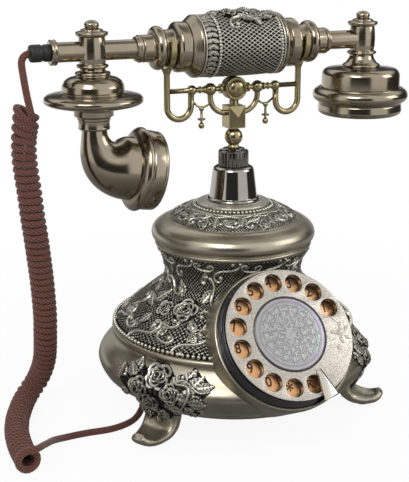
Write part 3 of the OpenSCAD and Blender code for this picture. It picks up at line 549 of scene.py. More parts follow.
    def rose(self, angle, along, radius, height, turn=0.0, base=0.0):
        """An open rose: rows of cupped petals over each other, the outer ones lowest."""
        part, x, y = self.near(angle, along, radius * 1.15)
        lift, shine = np.full_like(x, -9.0), np.zeros_like(x)
        rows = (
            (4, 0.50, 0.60, 0.38), (4, 0.31, 0.48, 0.60), (3, 0.18, 0.36, 0.78), (3, 0.09, 0.23, 0.92),
            (1, 0.02, 0.12, 1.0),
        )
        for row, (count, out, size, level_at) in enumerate(rows):
            for petal in range(count):
                way = math.radians(turn + petal * 360 / count + row * 41)
                px, py = out * radius * math.cos(way), out * radius * math.sin(way)
                far = np.hypot(x - px, y - py) / (size * radius)
                outer = ((x - px) * math.cos(way) + (y - py) * math.sin(way)) / (size * radius)
                outer = np.clip(outer + 0.35, 0, 1.3)
                rim = np.clip((far - 0.60) / 0.22, 0, 1) * np.clip((1 - far) / 0.12, 0, 1)
                cup = level_at - 0.26 + 0.26 * far**3
                inside = far < 1
                lift = np.where(inside, height * cup, lift)
                shine = np.where(inside, 0.06 + 1.05 * rim * outer + 0.10 * np.clip(far, 0, 1), shine)
        seen = lift > -1
        self.height[part] = np.where(seen, np.maximum(self.height[part], base + lift), self.height[part])
        # Painted shade: a dark ring on the ground round the rose.
        painted_shade_ring = (np.hypot(x, y) < radius * 1.12) & ~seen
        self.rubbed[part] = np.where(seen, np.clip(shine, 0, 1), np.where(painted_shade_ring, 0.03, self.rubbed[part]))

    def dive(self):
        """Sinks the upper and lower edges into the shell."""
        self.height[[0, -1], :] = -1

    def backed(self, spread, shrink):
        """Joins the raised parts by a thin dark ground that reaches a little past them; buries the rest."""
        raised = self.height > 0.05
        cell = abs(self.along[1] - self.along[0])
        for _ in range(round(spread / cell)):
            raised = grown(raised)
        for _ in range(round(shrink / cell)):
            raised = ~grown(~raised)
        low = self.height < 0.12
        self.height = np.where(raised & low, 0.12, self.height)
        self.rubbed = np.where(raised, np.where(low, 0.16, self.rubbed), -1)

    def sheet(self, keep=None):
        """The relief as a bmesh. Faces are kept where keep says so of their middles, in metres."""
        across, rows = len(self.angle) - 1, len(self.along) - 1
        bm = bmesh.new()
        layer = bm.verts.layers.float.new("relief")
        made = bmesh.ops.create_grid(bm, x_segments=across, y_segments=rows, size=0.5)["verts"]
        along = self.along[:, None] + 0 * self.angle[None, :]
        places = self.shell.at(self.angle[None, :], along, self.height)
        for vert in made:
            column, row = round((vert.co.x + 0.5) * across), round((vert.co.y + 0.5) * rows)
            vert.co = places[row, column]
            vert[layer] = self.rubbed[row, column]
        if keep is not None:
            dropped = [face for face in bm.faces if not keep(face.calc_center_median())]
            bmesh.ops.delete(bm, geom=dropped, context="FACES")
        if self.angle[-1] - self.angle[0] > 359.9:
            bmesh.ops.remove_doubles(bm, verts=bm.verts[:], dist=1e-6)
        return bm


# ---------- matrices of the places ----------

def dial_matrix():
    """From the dial's own frame, face towards +Z and top towards +Y, to the row frame, in metres."""
    return Matrix.Translation(DIAL_CENTRE * MM) @ Matrix.Rotation(math.pi / 2 - DIAL_LEAN, 4, "X")


def handset_matrix(side=1):
    """From a piece made along +Z to the handset's axis, running towards +X or, with side -1, towards -X."""
    return Matrix.Translation((0, 0, HANDSET_Z * MM)) @ Matrix.Rotation(side * math.pi / 2, 4, "Y")


def upright(x, y=0.0, z=0.0):
    """Upright at a place in millimetres."""
    return Matrix.Translation(Vector((x, y, z)) * MM)


def mouth_matrix():
    """Along the mouthpiece's axis."""
    return Matrix.Translation(MOUTH_CENTRE * MM) @ Matrix.Rotation(math.pi / 2 + MOUTH_TILT, 4, "Y")


# ---------- finishes ----------

def fresh_material(name, values=()):
    """A new material with its node tree and its shader, some of whose sockets get values."""
    material = bpy.data.materials.new(name)
    material.use_nodes = True
    shader = material.node_tree.nodes["Principled BSDF"]
    for socket, value in dict(values).items():
        shader.inputs[socket].default_value = value
    return material, material.node_tree, shader


def surfaced(tree, shader, tint, rough):
    """Links a colour and a roughness to a shader."""
    tree.links.new(tint, shader.inputs["Base Color"])
    tree.links.new(rough, shader.inputs["Roughness"])


def node(tree, kind, inputs=(), **settings):
    """Adds a shader node with some of its settings and inputs."""
    made = tree.nodes.new("ShaderNode" + kind)
    for key, value in settings.items():
        setattr(made, key, value)
    for key, value in dict(inputs).items():
        made.inputs[key].default_value = value
    return made


def sum_of(tree, operation, first, second):
    """A Math node of two numbers or sockets."""
    made = node(tree, "Math", operation=operation)
    for value, socket in ((first, made.inputs[0]), (second, made.inputs[1])):
        if isinstance(value, bpy.types.NodeSocket):
            tree.links.new(value, socket)
        else:
            socket.default_value = value
    return made.outputs[0]


def mixed_shaders(tree, factor, first, second):
    """Mixes two shaders by a factor, all given as sockets."""
    made = node(tree, "MixShader")
    for source, socket in zip((factor, first, second), made.inputs):
        tree.links.new(source, socket)
    return made.outputs[0]


def seen_directly(tree, paths):
    """1 for rays from the camera and for transmitted rays, and 0 for the others."""
    return sum_of(tree, "MAXIMUM", paths.outputs["Is Camera Ray"], paths.outputs["Is Transmission Ray"])


def object_noise(tree, scale, detail=4, rough=0.55, stretch=(1, 1, 1)):
    """Noise on Object coordinates; scale is in features per metre."""
    place = node(tree, "TexCoord")
    mapping = node(tree, "Mapping", {"Scale": stretch})
    noise = node(tree, "TexNoise", {"Scale": scale, "Detail": detail, "Roughness": rough})
    tree.links.new(place.outputs["Object"], mapping.inputs["Vector"])
    tree.links.new(mapping.outputs["Vector"], noise.inputs["Vector"])
    return noise.outputs["Fac"]


def ramp(tree, source, stops):
    """A colour ramp over a value; stops are (place, colour)."""
    made = node(tree, "ValToRGB")
    elements = made.color_ramp.elements
    while len(elements) < len(stops):
        elements.new(0.5)
    for element, (place, tint) in zip(elements, stops):
        element.position = place
        element.color = (*tint, 1)
    tree.links.new(source, made.inputs["Fac"])
    return made.outputs["Color"]


def level(tree, source, low, high, start=0.3, end=0.7):
    """Maps a value from start..end to low..high."""
    made = node(tree, "MapRange", {"From Min": start, "From Max": end, "To Min": low, "To Max": high})
    tree.links.new(source, made.inputs["Value"])
    return made.outputs["Result"]


def mixed(tree, factor, first, second, blend="MIX"):
    """Mixes two colours or sockets by a factor."""
    made = node(tree, "MixRGB", blend_type=blend)
    for value, socket in ((factor, "Fac"), (first, "Color1"), (second, "Color2")):
        if isinstance(value, bpy.types.NodeSocket):
            tree.links.new(value, made.inputs[socket])
        elif socket == "Fac":
            made.inputs[socket].default_value = value
        else:
            made.inputs[socket].default_value = (*value, 1)
    return made.outputs["Color"]


def bumped(tree, shader, height, strength, distance):
    """Adds a bump, distance in millimetres, to a shader."""
    bump = node(tree, "Bump", {"Strength": strength, "Distance": distance * MM})
    tree.links.new(height, bump.inputs["Height"])
    tree.links.new(bump.outputs["Normal"], shader.inputs["Normal"])


def shade(base, factor):
    """A darker or lighter version of a colour."""
    return tuple(min(1, c * factor) for c in base)


def plain_metal(name, base, rough=0.3, cloud=0.12, grain=0.25, stretch=(1, 1, 1)):
    """Satin metal with faint clouds, tiny pits and uneven polish."""
    material, tree, shader = fresh_material(name, {"Metallic": 1})
    clouds = object_noise(tree, 45, 3)
    tint = ramp(tree, clouds, [(0.3, shade(base, 1 - cloud)), (0.7, shade(base, 1 + cloud * 0.6))])
    pits = object_noise(tree, 900, 2)
    tint = mixed(tree, level(tree, pits, 0, 0.35, 0.62, 0.72), tint, shade(base, 0.45))
    surfaced(tree, shader, tint, level(tree, clouds, rough * 0.8, rough * 1.25))
    bumped(tree, shader, object_noise(tree, 1500, 3, stretch=stretch), grain, 0.05)
    return material


def relief_metal(name, high, low, rough=0.34):
    """Ornament: rubbed bright on its high points, dark with patina in its hollows and with painted shade
    round its raised parts.
    """
    material, tree, shader = fresh_material(name, {"Metallic": 0.9})
    mark = node(tree, "Attribute", attribute_name="relief")
    wear = object_noise(tree, 420, 4, 0.65)
    # worn is the relief attribute plus wear noise; the attribute holds rubbed wear, patina and painted shade.
    worn = sum_of(tree, "ADD", mark.outputs["Fac"], level(tree, wear, -0.22, 0.22, 0.25, 0.75))
    tint = ramp(
        tree, worn, [(0.14, low), (0.36, shade(high, 0.26)), (0.62, shade(high, 0.70)), (0.90, high)]
    )
    surfaced(tree, shader, tint, level(tree, worn, rough * 1.8, rough * 0.8, 0.2, 0.9))
    bumped(tree, shader, object_noise(tree, 1400, 3), 0.35, 0.08)
    return material


def gloss_material(name, base, rough=0.12, coat=0.5):
    """Moulded plastic or enamel with a faint orange peel."""
    material, tree, shader = fresh_material(name)
    clouds = object_noise(tree, 120, 2)
    tint = ramp(tree, clouds, [(0.3, shade(base, 0.8)), (0.7, shade(base, 1.25))])
    surfaced(tree, shader, tint, level(tree, clouds, rough * 0.8, rough * 1.3))
    shader.inputs["Coat Weight"].default_value = coat
    bumped(tree, shader, object_noise(tree, 500, 2), 0.12, 0.05)
    return material


def copper_material(base):
    """Brushed copper plate with fine streaks."""
    material, tree, shader = fresh_material("copper", {"Metallic": 0.9})
    streaks = object_noise(tree, 300, 3, 0.6, (1, 6, 6))
    tint = ramp(tree, streaks, [(0.3, shade(base, 0.86)), (0.7, shade(base, 1.06))])
    surfaced(tree, shader, tint, level(tree, streaks, 0.24, 0.34))
    bumped(tree, shader, streaks, 0.12, 0.03)
    return material


def speckled_material(name, base, low=0.5, metal=0.75):
    """Finely speckled light metal."""
    material, tree, shader = fresh_material(name, {"Metallic": metal})
    speck = object_noise(tree, 1300, 2, 0.7)
    clouds = object_noise(tree, 60, 3)
    tint = ramp(tree, speck, [(0.36, shade(base, low)), (0.50, shade(base, 0.92)), (0.7, shade(base, 1.1))])
    tint = mixed(tree, level(tree, clouds, 0, 0.25), tint, shade(base, 0.8))
    surfaced(tree, shader, tint, level(tree, speck, 0.5, 0.3))
    bumped(tree, shader, speck, 0.6, 0.06)
    return material


def hub_material(base):
    """Pale engraved plate with a painted sheen that turns rose and green towards its rim, more of it towards
    +X.
    """
    material, tree, shader = fresh_material("hub_plate", {"Metallic": 0.5})
    mark = node(tree, "Attribute", attribute_name="relief")
    place = node(tree, "TexCoord")
    mapping = node(tree, "Mapping", {"Location": tuple(-DIAL_CENTRE * MM)})
    tree.links.new(place.outputs["Object"], mapping.inputs["Vector"])
    far = node(tree, "VectorMath", operation="LENGTH")
    tree.links.new(mapping.outputs["Vector"], far.inputs[0])
    split = node(tree, "SeparateXYZ")
    tree.links.new(mapping.outputs["Vector"], split.inputs[0])
    ring = sum_of(tree, "ADD", far.outputs["Value"], level(tree, object_noise(tree, 90, 3), -0.003, 0.003))
    # Painted sheen: rings of rose, green and violet towards the rim, standing for a reflection.
    bands = ramp(tree, level(tree, ring, 0, 1, 0.012, 0.025), [
        (0.0, base), (0.45, base), (0.62, (0.32, 0.48, 0.42)), (0.78, (0.50, 0.34, 0.44)),
        (0.92, (0.34, 0.26, 0.58)), (1.0, base),
    ])
    # The painted sheen is laid on more towards +X, on one side of the plate only.
    share = level(tree, split.outputs["X"], 0.06, 0.62, -0.006, 0.018)
    tint = mixed(tree, share, base, bands)
    fine = object_noise(tree, 1500, 3, 0.7)
    tint = mixed(tree, level(tree, fine, 0, 0.45, 0.46, 0.66), tint, shade(base, 0.35))
    tint = mixed(tree, level(tree, mark.outputs["Fac"], 0, 0.7, 0.25, 0.9), tint, shade(base, 0.28))
    surfaced(tree, shader, tint, level(tree, fine, 0.26, 0.40))
    bumped(tree, shader, fine, 0.4, 0.05)
    return material


def braid_material(base):
    """Tightly woven cord: diagonal threads both ways, on the cord's own UV map, with painted shade between
    and under the threads.
    """
    material, tree, shader = fresh_material(
        "braid", {"Sheen Weight": 0.25, "Sheen Roughness": 0.5, "Specular IOR Level": 0.25}
    )
    uv = node(tree, "UVMap", uv_map="braid")
    split = node(tree, "SeparateXYZ")
    tree.links.new(uv.outputs["UV"], split.inputs[0])
    threads = []
    for way in (1, -1):
        turn = sum_of(tree, "MULTIPLY", split.outputs["X"], way * 6 * math.pi)
        along = sum_of(tree, "MULTIPLY", split.outputs["Y"], math.pi / (2.3 * MM))
        threads.append(sum_of(tree, "COSINE", sum_of(tree, "ADD", turn, along), 0))
    over = sum_of(tree, "MULTIPLY", *threads)
    # Where the threads cross, one is dimmed and the other lifted by about a third: painted shade and painted
    # highlight.
    strands = [
        sum_of(tree, "MULTIPLY", sum_of(tree, "POWER", sum_of(tree, "ABSOLUTE", thread, 0), 1.6),
               level(tree, over, 1 - way * 0.34, 1, -1, 1))
        for thread, way in zip(threads, (1, -1))
    ]
    weave = sum_of(tree, "MAXIMUM", *strands)
    fuzz = object_noise(tree, 900, 3, 0.6)
    # The gaps between threads go nearly black and the thread crowns a quarter lighter than the braid: painted
    # shade and painted highlight.
    stops = ((0.30, 0.12), (0.60, 0.62), (0.95, 1.25))
    tint = ramp(tree, weave, [(place, shade(base, factor)) for place, factor in stops])
    tint = mixed(tree, level(tree, fuzz, 0, 0.5), tint, shade(base, 0.45))
    surfaced(tree, shader, tint, level(tree, fuzz, 0.6, 0.85))
    bumped(tree, shader, weave, 0.8, 0.3)
    return material


def finishes(colours):
    """Makes every finish once."""
    patina = tuple(colours.patina)
    FINISHES.update(
        champagne=plain_metal("champagne", tuple(colours.champagne), 0.33, 0.10),
        ornament=relief_metal("ornament", tuple(colours.rubbed), patina),
        pewter=plain_metal("pewter", tuple(colours.pewter), 0.17, 0.14, 0.15),
        gold=plain_metal("gold", tuple(colours.gold), 0.24, 0.12, 0.15),
        chrome=plain_metal("chrome", tuple(colours.chrome), 0.07, 0.08, 0.05),
        # The knurled nut: the chrome at half its brightness, painted shade standing for its dark flutes.
        nut=plain_metal("nut", shade(tuple(colours.chrome), 0.5), 0.12, 0.08, 0.05),
        silver=plain_metal("silver", tuple(colours.silver), 0.26, 0.08, 0.15),
        bead=plain_metal("bead", tuple(colours.rubbed), 0.22, 0.08, 0.1),
        foot=relief_metal("foot", tuple(colours.champagne), patina),
        stipple=speckled_material("stipple", tuple(colours.rubbed), 0.35, 0.85),
        steel=plain_metal("steel", (0.42, 0.42, 0.42), 0.34, 0.1, 0.3, (1, 1, 8)),
        gloss_black=gloss_material("gloss_black", (0.012, 0.012, 0.014)),
        rubber=gloss_material("rubber", (0.014, 0.014, 0.014), 0.45, 0.0),
        plastic=gloss_material("plastic", (0.03, 0.03, 0.03), 0.5, 0.0),
        board=gloss_material("board", (0.02, 0.12, 0.04), 0.35, 0.2),
        winding=gloss_material("winding", (0.16, 0.05, 0.02), 0.3, 0.4),
        ink=gloss_material("ink", (0.006, 0.005, 0.005), 0.4, 0.1),
        copper=copper_material(tuple(colours.copper)),
        wheel=speckled_material("speckled_wheel", tuple(colours.wheel)),
        hub=hub_material(tuple(colours.hub)),
        braid=braid_material(tuple(colours.braid)),
    )


# The CAD nodes that each finish is on
CAD_NODES_OF = {
    "champagne": [
        "lower_casing", "lid", "skirt_casing", "feet", "rose_clusters", "dial_housing", "grip_sleeve",
        "grip_relief",
    ],
    "stipple": ["column_flange"],
    "chrome": ["column_cone"],
    "nut": ["knurled_nut"],
    "rubber": ["foot_pads", "strain_relief"],
    "plastic": ["base_plate", "dial_frame", "hook_switch", "capsules"],
    "steel": [
        "plate_screws", "return_spring", "hook_spring", "wheel_shaft", "clapper", "hook_lever",
        "cradle_stem",
    ],
    "gloss_black": ["dial_bezel", "line_jack", "cord_inlet", "hub_ring"],
    "copper": ["number_plate"],
    "silver": ["finger_stop"],
    "board": ["circuit_board"],
    "gold": [
        "bell_gongs", "drive_gear", "governor", "pulse_cam", "cradle_post", "cradle_block", "centre_boss",
        "cradle_bar", "hanger_loops", "cradle_forks", "cradle_arms", "neck_cones", "cord_collar",
    ],
    "winding": ["ringer_coil"],
    "wheel": ["finger_wheel"],
    "hub": ["hub_disc"],
    "pewter": [
        "end_caps", "handset_tubes", "tee_barrels", "finials", "mouth_dome", "mouth_elbow", "mouth_cap",
        "ear_cup", "ear_cap",
    ],
    "braid": ["cord_lead_top", "cord_coil", "cord_lead_bottom"],
}
FINISH_OF = {name: finish for finish, names in CAD_NODES_OF.items() for name in names}


def finish_cad_nodes():
    """Gives every CAD node its finish."""
    for name, part in frame["nodes"].items():
        part.data.materials.clear()
        part.data.materials.append(FINISHES[FINISH_OF[name]])


def smooth_copy(node_name, body, bevel=0.25):
    """Stands in for a CAD node with its own shape, its edges rounded and its curves smooth."""
    bm = bmesh.new()
    bm.from_mesh(frame["nodes"][node_name].data)
    bmesh.ops.remove_doubles(bm, verts=bm.verts[:], dist=1e-6)
    bmesh.ops.dissolve_limit(
        bm, angle_limit=math.radians(0.5), verts=bm.verts[:], edges=bm.edges[:], delimit={"NORMAL"}
    )
    piece = shown(node_name + "_smooth", bm, FINISH_OF[node_name], body, (node_name,))
    if bevel:
        soft = piece.modifiers.new("soft edges", "BEVEL")
        soft.width = bevel * MM
        soft.segments = 2
        soft.angle_limit = math.radians(38)


# ---------- cord ----------

def cord_points(sizes):
    """Points along the whole cord in millimetres: lead, coil, and lead along the table."""
    middle = smooth_path(COIL, 40)
    reach, sides = [0.0], [Vector(FRONT)]
    for a, b in zip(middle, middle[1:]):
        heading = (b - a).normalized()
        reach.append(reach[-1] + (b - a).length)
        sides.append((sides[-1] - heading * sides[-1].dot(heading)).normalized())
    heading = (middle[-1] - middle[-2]).normalized()
    across = heading.cross(sides[-1])
    first = -math.radians(45)
    final = math.atan2(across.z, sides[-1].z)
    part_turn = ((first - final) % math.tau) / math.tau
    turns = round(reach[-1] / (sizes.coil_pitch / MM) - part_turn) + part_turn
    steps = int(turns * sizes.turn_points)
    points = smooth_path(LEAD_TOP, 4)[:-1]
    for i in range(steps + 1):
        along = reach[-1] * i / steps
        j = min(len(middle) - 2, max(0, bisect.bisect_right(reach, along) - 1))
        t = (along - reach[j]) / (reach[j + 1] - reach[j])
        here = middle[j].lerp(middle[j + 1], t)
        heading = (middle[j + 1] - middle[j]).normalized()
        phase = first - math.tau * turns * i / steps
        out = sides[j + 1] * math.cos(phase) + heading.cross(sides[j + 1]) * math.sin(phase)
        wide = max(0.0, 1 - (steps - i) / (1.6 * sizes.turn_points)) ** 2
        place = here + out * (sizes.coil_r / MM + 1.1 * wide)
        place.z += 1.1 * wide
        tilt = max(0.0, 1 - i / (4.0 * sizes.turn_points))
        place.z -= 0.85 * tilt * (place - here).dot(Vector(RIGHT))
        place.z = max(place.z, sizes.cord_r / MM + 0.03)
        points.append(place)
    tail = smooth_path([points[-1], *LEAD_BOTTOM], 5)[1:]
    return points + tail


def make_cord(sizes):
    """The braided cord from the handset to the base, stretched by the lift of the handset."""
    sleeve = [
        (0, 0), (4.4, 0), (5.5, 0.6), (5.8, 1.8), (5.8, 7.4), (5.4, 8.2), (4.7, 8.8), (5.4, 9.4),
        (5.7, 10.2), (5.7, 13.5), (0, 13.5),
    ]
    place = handset_matrix(-1) @ upright(0, 0, 147.4) @ Matrix.Rotation(math.pi, 4, "X")
    sleeve_piece = turned_piece(
        "rubber_sleeve", sleeve, "rubber", "handset", ("strain_relief",), 0.4, [place], 64
    )
    points = cord_points(sizes)
    points = [p for p, q in zip(points, [None, *points]) if q is None or (p - q).length > 0.2]
    reach = [0.0]
    for a, b in zip(points, points[1:]):
        reach.append(reach[-1] + (b - a).length)
    bm = bmesh.new()
    bm.loops.layers.uv.new("braid")
    bm.verts.layers.float.new("ring")
    bm.verts.layers.float.new("turn")
    bm.verts.layers.float.new("relief")
    ring_of, turn_of = bm.verts.layers.float["ring"], bm.verts.layers.float["turn"]
    sides, last = 10, len(points) - 1
    marks = ((ring_of, lambda u, v: v * last), (turn_of, lambda u, v: u))
    tube(bm, points, sizes.cord_r / MM, sides, ends=False, marks=marks)
    uv = bm.loops.layers.uv["braid"]
    for face in bm.faces:
        turns = [loop.vert[turn_of] % 1 for loop in face.loops]
        wraps = max(turns) - min(turns) > 0.5
        for loop, turn in zip(face.loops, turns):
            loop[uv].uv = (turn + (wraps and turn < 0.5), reach[round(loop.vert[ring_of])] * MM)
    bmesh.ops.holes_fill(bm, edges=[e for e in bm.edges if e.is_boundary], sides=sides)
    piece = shown("braided_cord", bm, "braid", "base")
    piece.parent = None
    del piece["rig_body"]
    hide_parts("cord_lead_top", "cord_coil", "cord_lead_bottom")
    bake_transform(piece, "base", "handset", start=(0, 0, 0.04), end=(0, 0, 0.228))


# ---------- base ----------

def in_dial_drum(place, radius):
    """Whether a place, in metres, is inside the drum that runs back from the dial."""
    back = Vector((0, math.cos(DIAL_LEAN), -math.sin(DIAL_LEAN)))
    front = DIAL_CENTRE + back * DRUM_FRONT
    run = DIAL_CENTRE + back * DRUM_DEPTH + Vector(DRUM_SHIFT) - front
    from_front = Vector(place) / MM - front
    t = from_front.dot(back) / run.dot(back)
    if t > 1:
        return False
    middle = run * t if t > 0 else back * (from_front.dot(back))
    return (from_front - middle).length < radius


def make_casing():
    """The smooth lower casing, open where the dial's drum runs in."""
    patch = Relief(Shell(softened(CASING, 0.7, 2)), (0, 360), (0, shell_length(CASING)), 1.5, ground=0)
    bm = patch.sheet(lambda place: not in_dial_drum(place, DRUM_CUT))
    bmesh.ops.remove_doubles(bm, verts=bm.verts[:], dist=1e-6)
    bmesh.ops.solidify(bm, geom=bm.faces[:], thickness=2.2 * MM)
    shown("casing_shell", bm, "champagne", "base", ("lower_casing",), sharp=60)


def shell_length(outline):
    """Length along a softened outline."""
    points = softened(outline, 0.7, 2)
    return sum((b - a).length for a, b in zip(points, points[1:])) - 0.01


def make_lid():
    """The rounded lid with its plain torus, its relief dome, and the column that stands on it."""
    bm = bmesh.new()
    inner = [
        (26, 148.4), (42, 143.5), (47, 139), (53, 135), (55.5, 131), (53, 126), (51, 121), (49.6, 117.4),
    ]
    lathe(bm, softened(LID, 0.9) + [Vector(p) for p in inner], steps=192)
    shown("lid_shell", bm, "champagne", "base", ("lid",))
    dome = Relief(Shell(DOME), (0, 360), (0.2, 20.8), 0.42, ground=0.12)
    dome.net(120, 2.0, 0.5)
    for turn in range(0, 360, 60):
        draw_all(dome.leaf, turn, (
            (192.4, 5, 10, 7, 75, 1.7), (176, 7, 9, 6, 20, 1.6), (227.4, 3.5, 9, 6, 90, 1.8),
            (223, 6, 8, 5, 140, 1.6), (232, 6, 8, 5, 40, 1.6), (203, 11, 8, 5, -20, 1.6),
        ))
        draw_all(dome.scroll, turn, (
            (207, 10, 30, 10, 0.8, -1, 1.5, 1.6), (182, 4.5, 24, -15, 0.7, 1, 1.4, 1.4),
        ))
        dome.rose(turn + 215.4, 5.5, 4.6, 2.4, turn)
    wave = [(a, 14.8 + 1.0 * math.cos(math.radians(a * 12))) for a in np.arange(-4, 365, 0.5)]
    dome.ridge(wave, 1.3, 1.0, taper=0)
    dome.ridge([(a, 17.2) for a in np.arange(-1, 362, 0.6)], 1.3, 0.9, taper=0)
    dome.dive()
    laid("lid_relief", dome.sheet(), "ornament", "base")
    bm = bmesh.new()
    for i in range(LID_BEAD_COUNT):
        turn = math.tau * i / LID_BEAD_COUNT
        bead(bm, (28.2 * math.cos(turn), 28.2 * math.sin(turn), 152.4), 1.2)
    shown("lid_beads", bm, "bead", "base", closed=False)
    disc = [
        (3.6, 151.8), (25, 151.8), (26.4, 152.8), (26.6, 154.2), (25.6, 155.2), (24, 155.3), (22, 155.5),
        (19.6, 156), (3.6, 156),
    ]
    turned_piece("flange_disc", disc, "stipple", "base", ("column_flange",))
    cone = [
        (3.6, 156), (18.8, 156), (19.4, 156.8), (18.8, 157.8), (17.3, 158.2), (14.9, 178.4), (14.2, 179.8),
        (12.6, 180.6), (3.6, 180.6),
    ]
    turned_piece("cone_sleeve", cone, "chrome", "base", ("column_cone",), 0.4)
    smooth_copy("knurled_nut", "base", bevel=0.15)


def make_skirt(sizes):
    """The woven skirt with its roses, leaves, scrolls and the bead row under it."""
    wall = Relief(Shell(SKIRT), (0, 360), (0, 78.6), 1.5, ground=0)
    bm = wall.sheet(lambda place: not in_dial_drum(place, DRUM_CUT))
    bmesh.ops.solidify(bm, geom=bm.faces[:], thickness=2 * MM)
    shown("skirt_wall", bm, "ornament", "base", ("skirt_casing",), sharp=60)
    for name, first in (("front", 156), ("back", 336)):
        skin = Relief(Shell(SKIRT), (first, first + 180), (1.0, 78.6), 0.5, ground=0.1)
        skin.weave(WEAVE_STRANDS, sizes.weave_gap / MM, sizes.weave_h / MM)
        skin.bare(skin.along < 4)
        for foot in (0, 120, 240):
            draw_all(skin.leaf, foot, (
                (182, 33, 17, 9, 65, 1.8), (184, 31, 14, 8, 150, 1.7), (222, 44, 14, 8, 60, 1.8),
                (203, 46, 13, 7, 110, 1.7), (204, 24, 13, 7, -70, 1.7),
            ))
            draw_all(skin.scroll, foot, (
                (229, 52, 46, 80, 0.7, -1, 2.2, 1.9), (229, 25, 44, 65, 0.75, 1, 2.2, 1.9),
                (168, 25, 44, 35, 0.75, -1, 2.2, 1.8), (190, 52, 36, 120, 0.75, -1, 2.0, 1.6),
                (174, 50, 40, 55, 0.75, 1, 2.0, 1.7), (205, 21, 38, 165, 0.75, -1, 2.0, 1.7),
            ))
            draw_all(skin.leaf, foot, (
                (190, 25, 12, 7, -120, 1.7), (172, 40, 14, 8, 120, 1.7), (236, 36, 13, 7.5, 100, 1.7),
                (219, 28, 12, 7, -50, 1.7), (156, 36, 12, 7, 100, 1.6), (167, 14, 11, 6, 160, 1.6),
            ))
            draw_all(skin.rose, foot, (
                (212.5, 36, 9.0, 3.2, 10), (196.1, 33, 6.4, 2.6, 50), (182.4, 12, 4.5, 2.0, 0),
                (224, 16, 4.0, 1.8, 30),
            ))
        for i in range(12):
            skin.scroll(194 + 30 * i, 10.5, 56, 8, 0.85, -1, 2.1, 1.7)
            skin.scroll(208 + 30 * i, 8.5, 32, -12, 0.8, 1, 2.0, 1.6)
        for i in range(10):
            skin.scroll(204 + 36 * i, 70.5, 44, 6, 0.85, -1, 1.9, 1.5)
            skin.scroll(222 + 36 * i, 69.5, 30, -8, 0.8, 1, 1.8, 1.5)
            skin.leaf(222 + 36 * i, 61, 8, 4.4, 85, 1.2)
        skin.dive()
        bm = skin.sheet(lambda place: not in_dial_drum(place, DRUM_CUT))
        laid("skirt_weave_" + name, bm, "ornament", "base")
    bm = bmesh.new()
    for i in range(BEAD_COUNT):
        turn = math.tau * i / BEAD_COUNT
        place = Vector((88.2 * math.cos(turn), 88.2 * math.sin(turn), 65.9))
        if not in_dial_drum(place * MM, DRUM_CUT + 2):
            bead(bm, place, sizes.bead_r / MM)
    shown("bead_row", bm, "bead", "base", closed=False)


def make_clusters():
    """A spray of roses, buds and leaves over each foot."""
    for foot, side in zip(FOOT_ANGLES, ("back", "left", "right")):
        spray = Relief(Shell(SPRAY), (foot - 26, foot + 30), (4, 61), 0.36, ground=-1.0)
        turn = foot - 210
        draw_all(spray.leaf, turn, (
            (200, 46, 13, 8, 80), (196, 41, 12, 8, 150), (193, 38, 12, 7, 95), (219.5, 44, 13, 8, 45),
            (224, 44.5, 16, 9, 58), (227, 40, 17, 9.5, 55), (229.5, 40, 15, 9, -65), (226, 30, 11, 7, -50),
            (201, 43, 12, 8, 130), (213, 23, 10, 6, -80), (205, 24, 11, 6, -110), (219, 27, 11, 7, -20),
            (198, 31, 9, 6, 200), (224, 31, 13, 7, 70), (214, 22, 10, 6, -60), (222, 37, 11, 7, -10),
            (231, 44, 12, 7, 15), (206, 18, 11, 6, -95), (211, 14, 8, 5, -100), (218, 33, 10, 7, -60),
            (203, 30, 9, 6, -70), (228, 34, 12, 7, 0),
        ), 2.0, 0.4)
        for stem, width, height in (
            ([(219.5, 43), (222, 47), (225, 48.4), (228.6, 44.7), (232, 41.5), (236, 42.5)], 1.5, 2.2),
            ([(221, 45), (226.7, 44.5), (227.4, 37.7), (224, 27)], 2.2, 2.4),
        ):
            spray.ridge(dense_path([(angle + turn, along) for angle, along in stem]), width, height)
        for angle, along, radius, height in (
            (212.3, 48.2, 10, 4.2), (204.0, 36.6, 8, 4.2), (209.4, 26.8, 7.2, 4.4), (219.7, 37.6, 7.0, 4.4),
            (228.2, 24.5, 3.4, 2.8), (214, 17.5, 4.4, 3.2), (206, 15, 3.6, 2.8),
        ):
            spray.rose(angle + turn, along, radius, height, angle * 7)
        spray.backed(4.6, 4.2)
        bm = spray.sheet()
        bmesh.ops.delete(bm, geom=buried_faces(bm), context="FACES")
        hides = ("rose_clusters",) if side == "left" else ()
        laid("rose_spray_" + side, bm, "ornament", "base", hides)


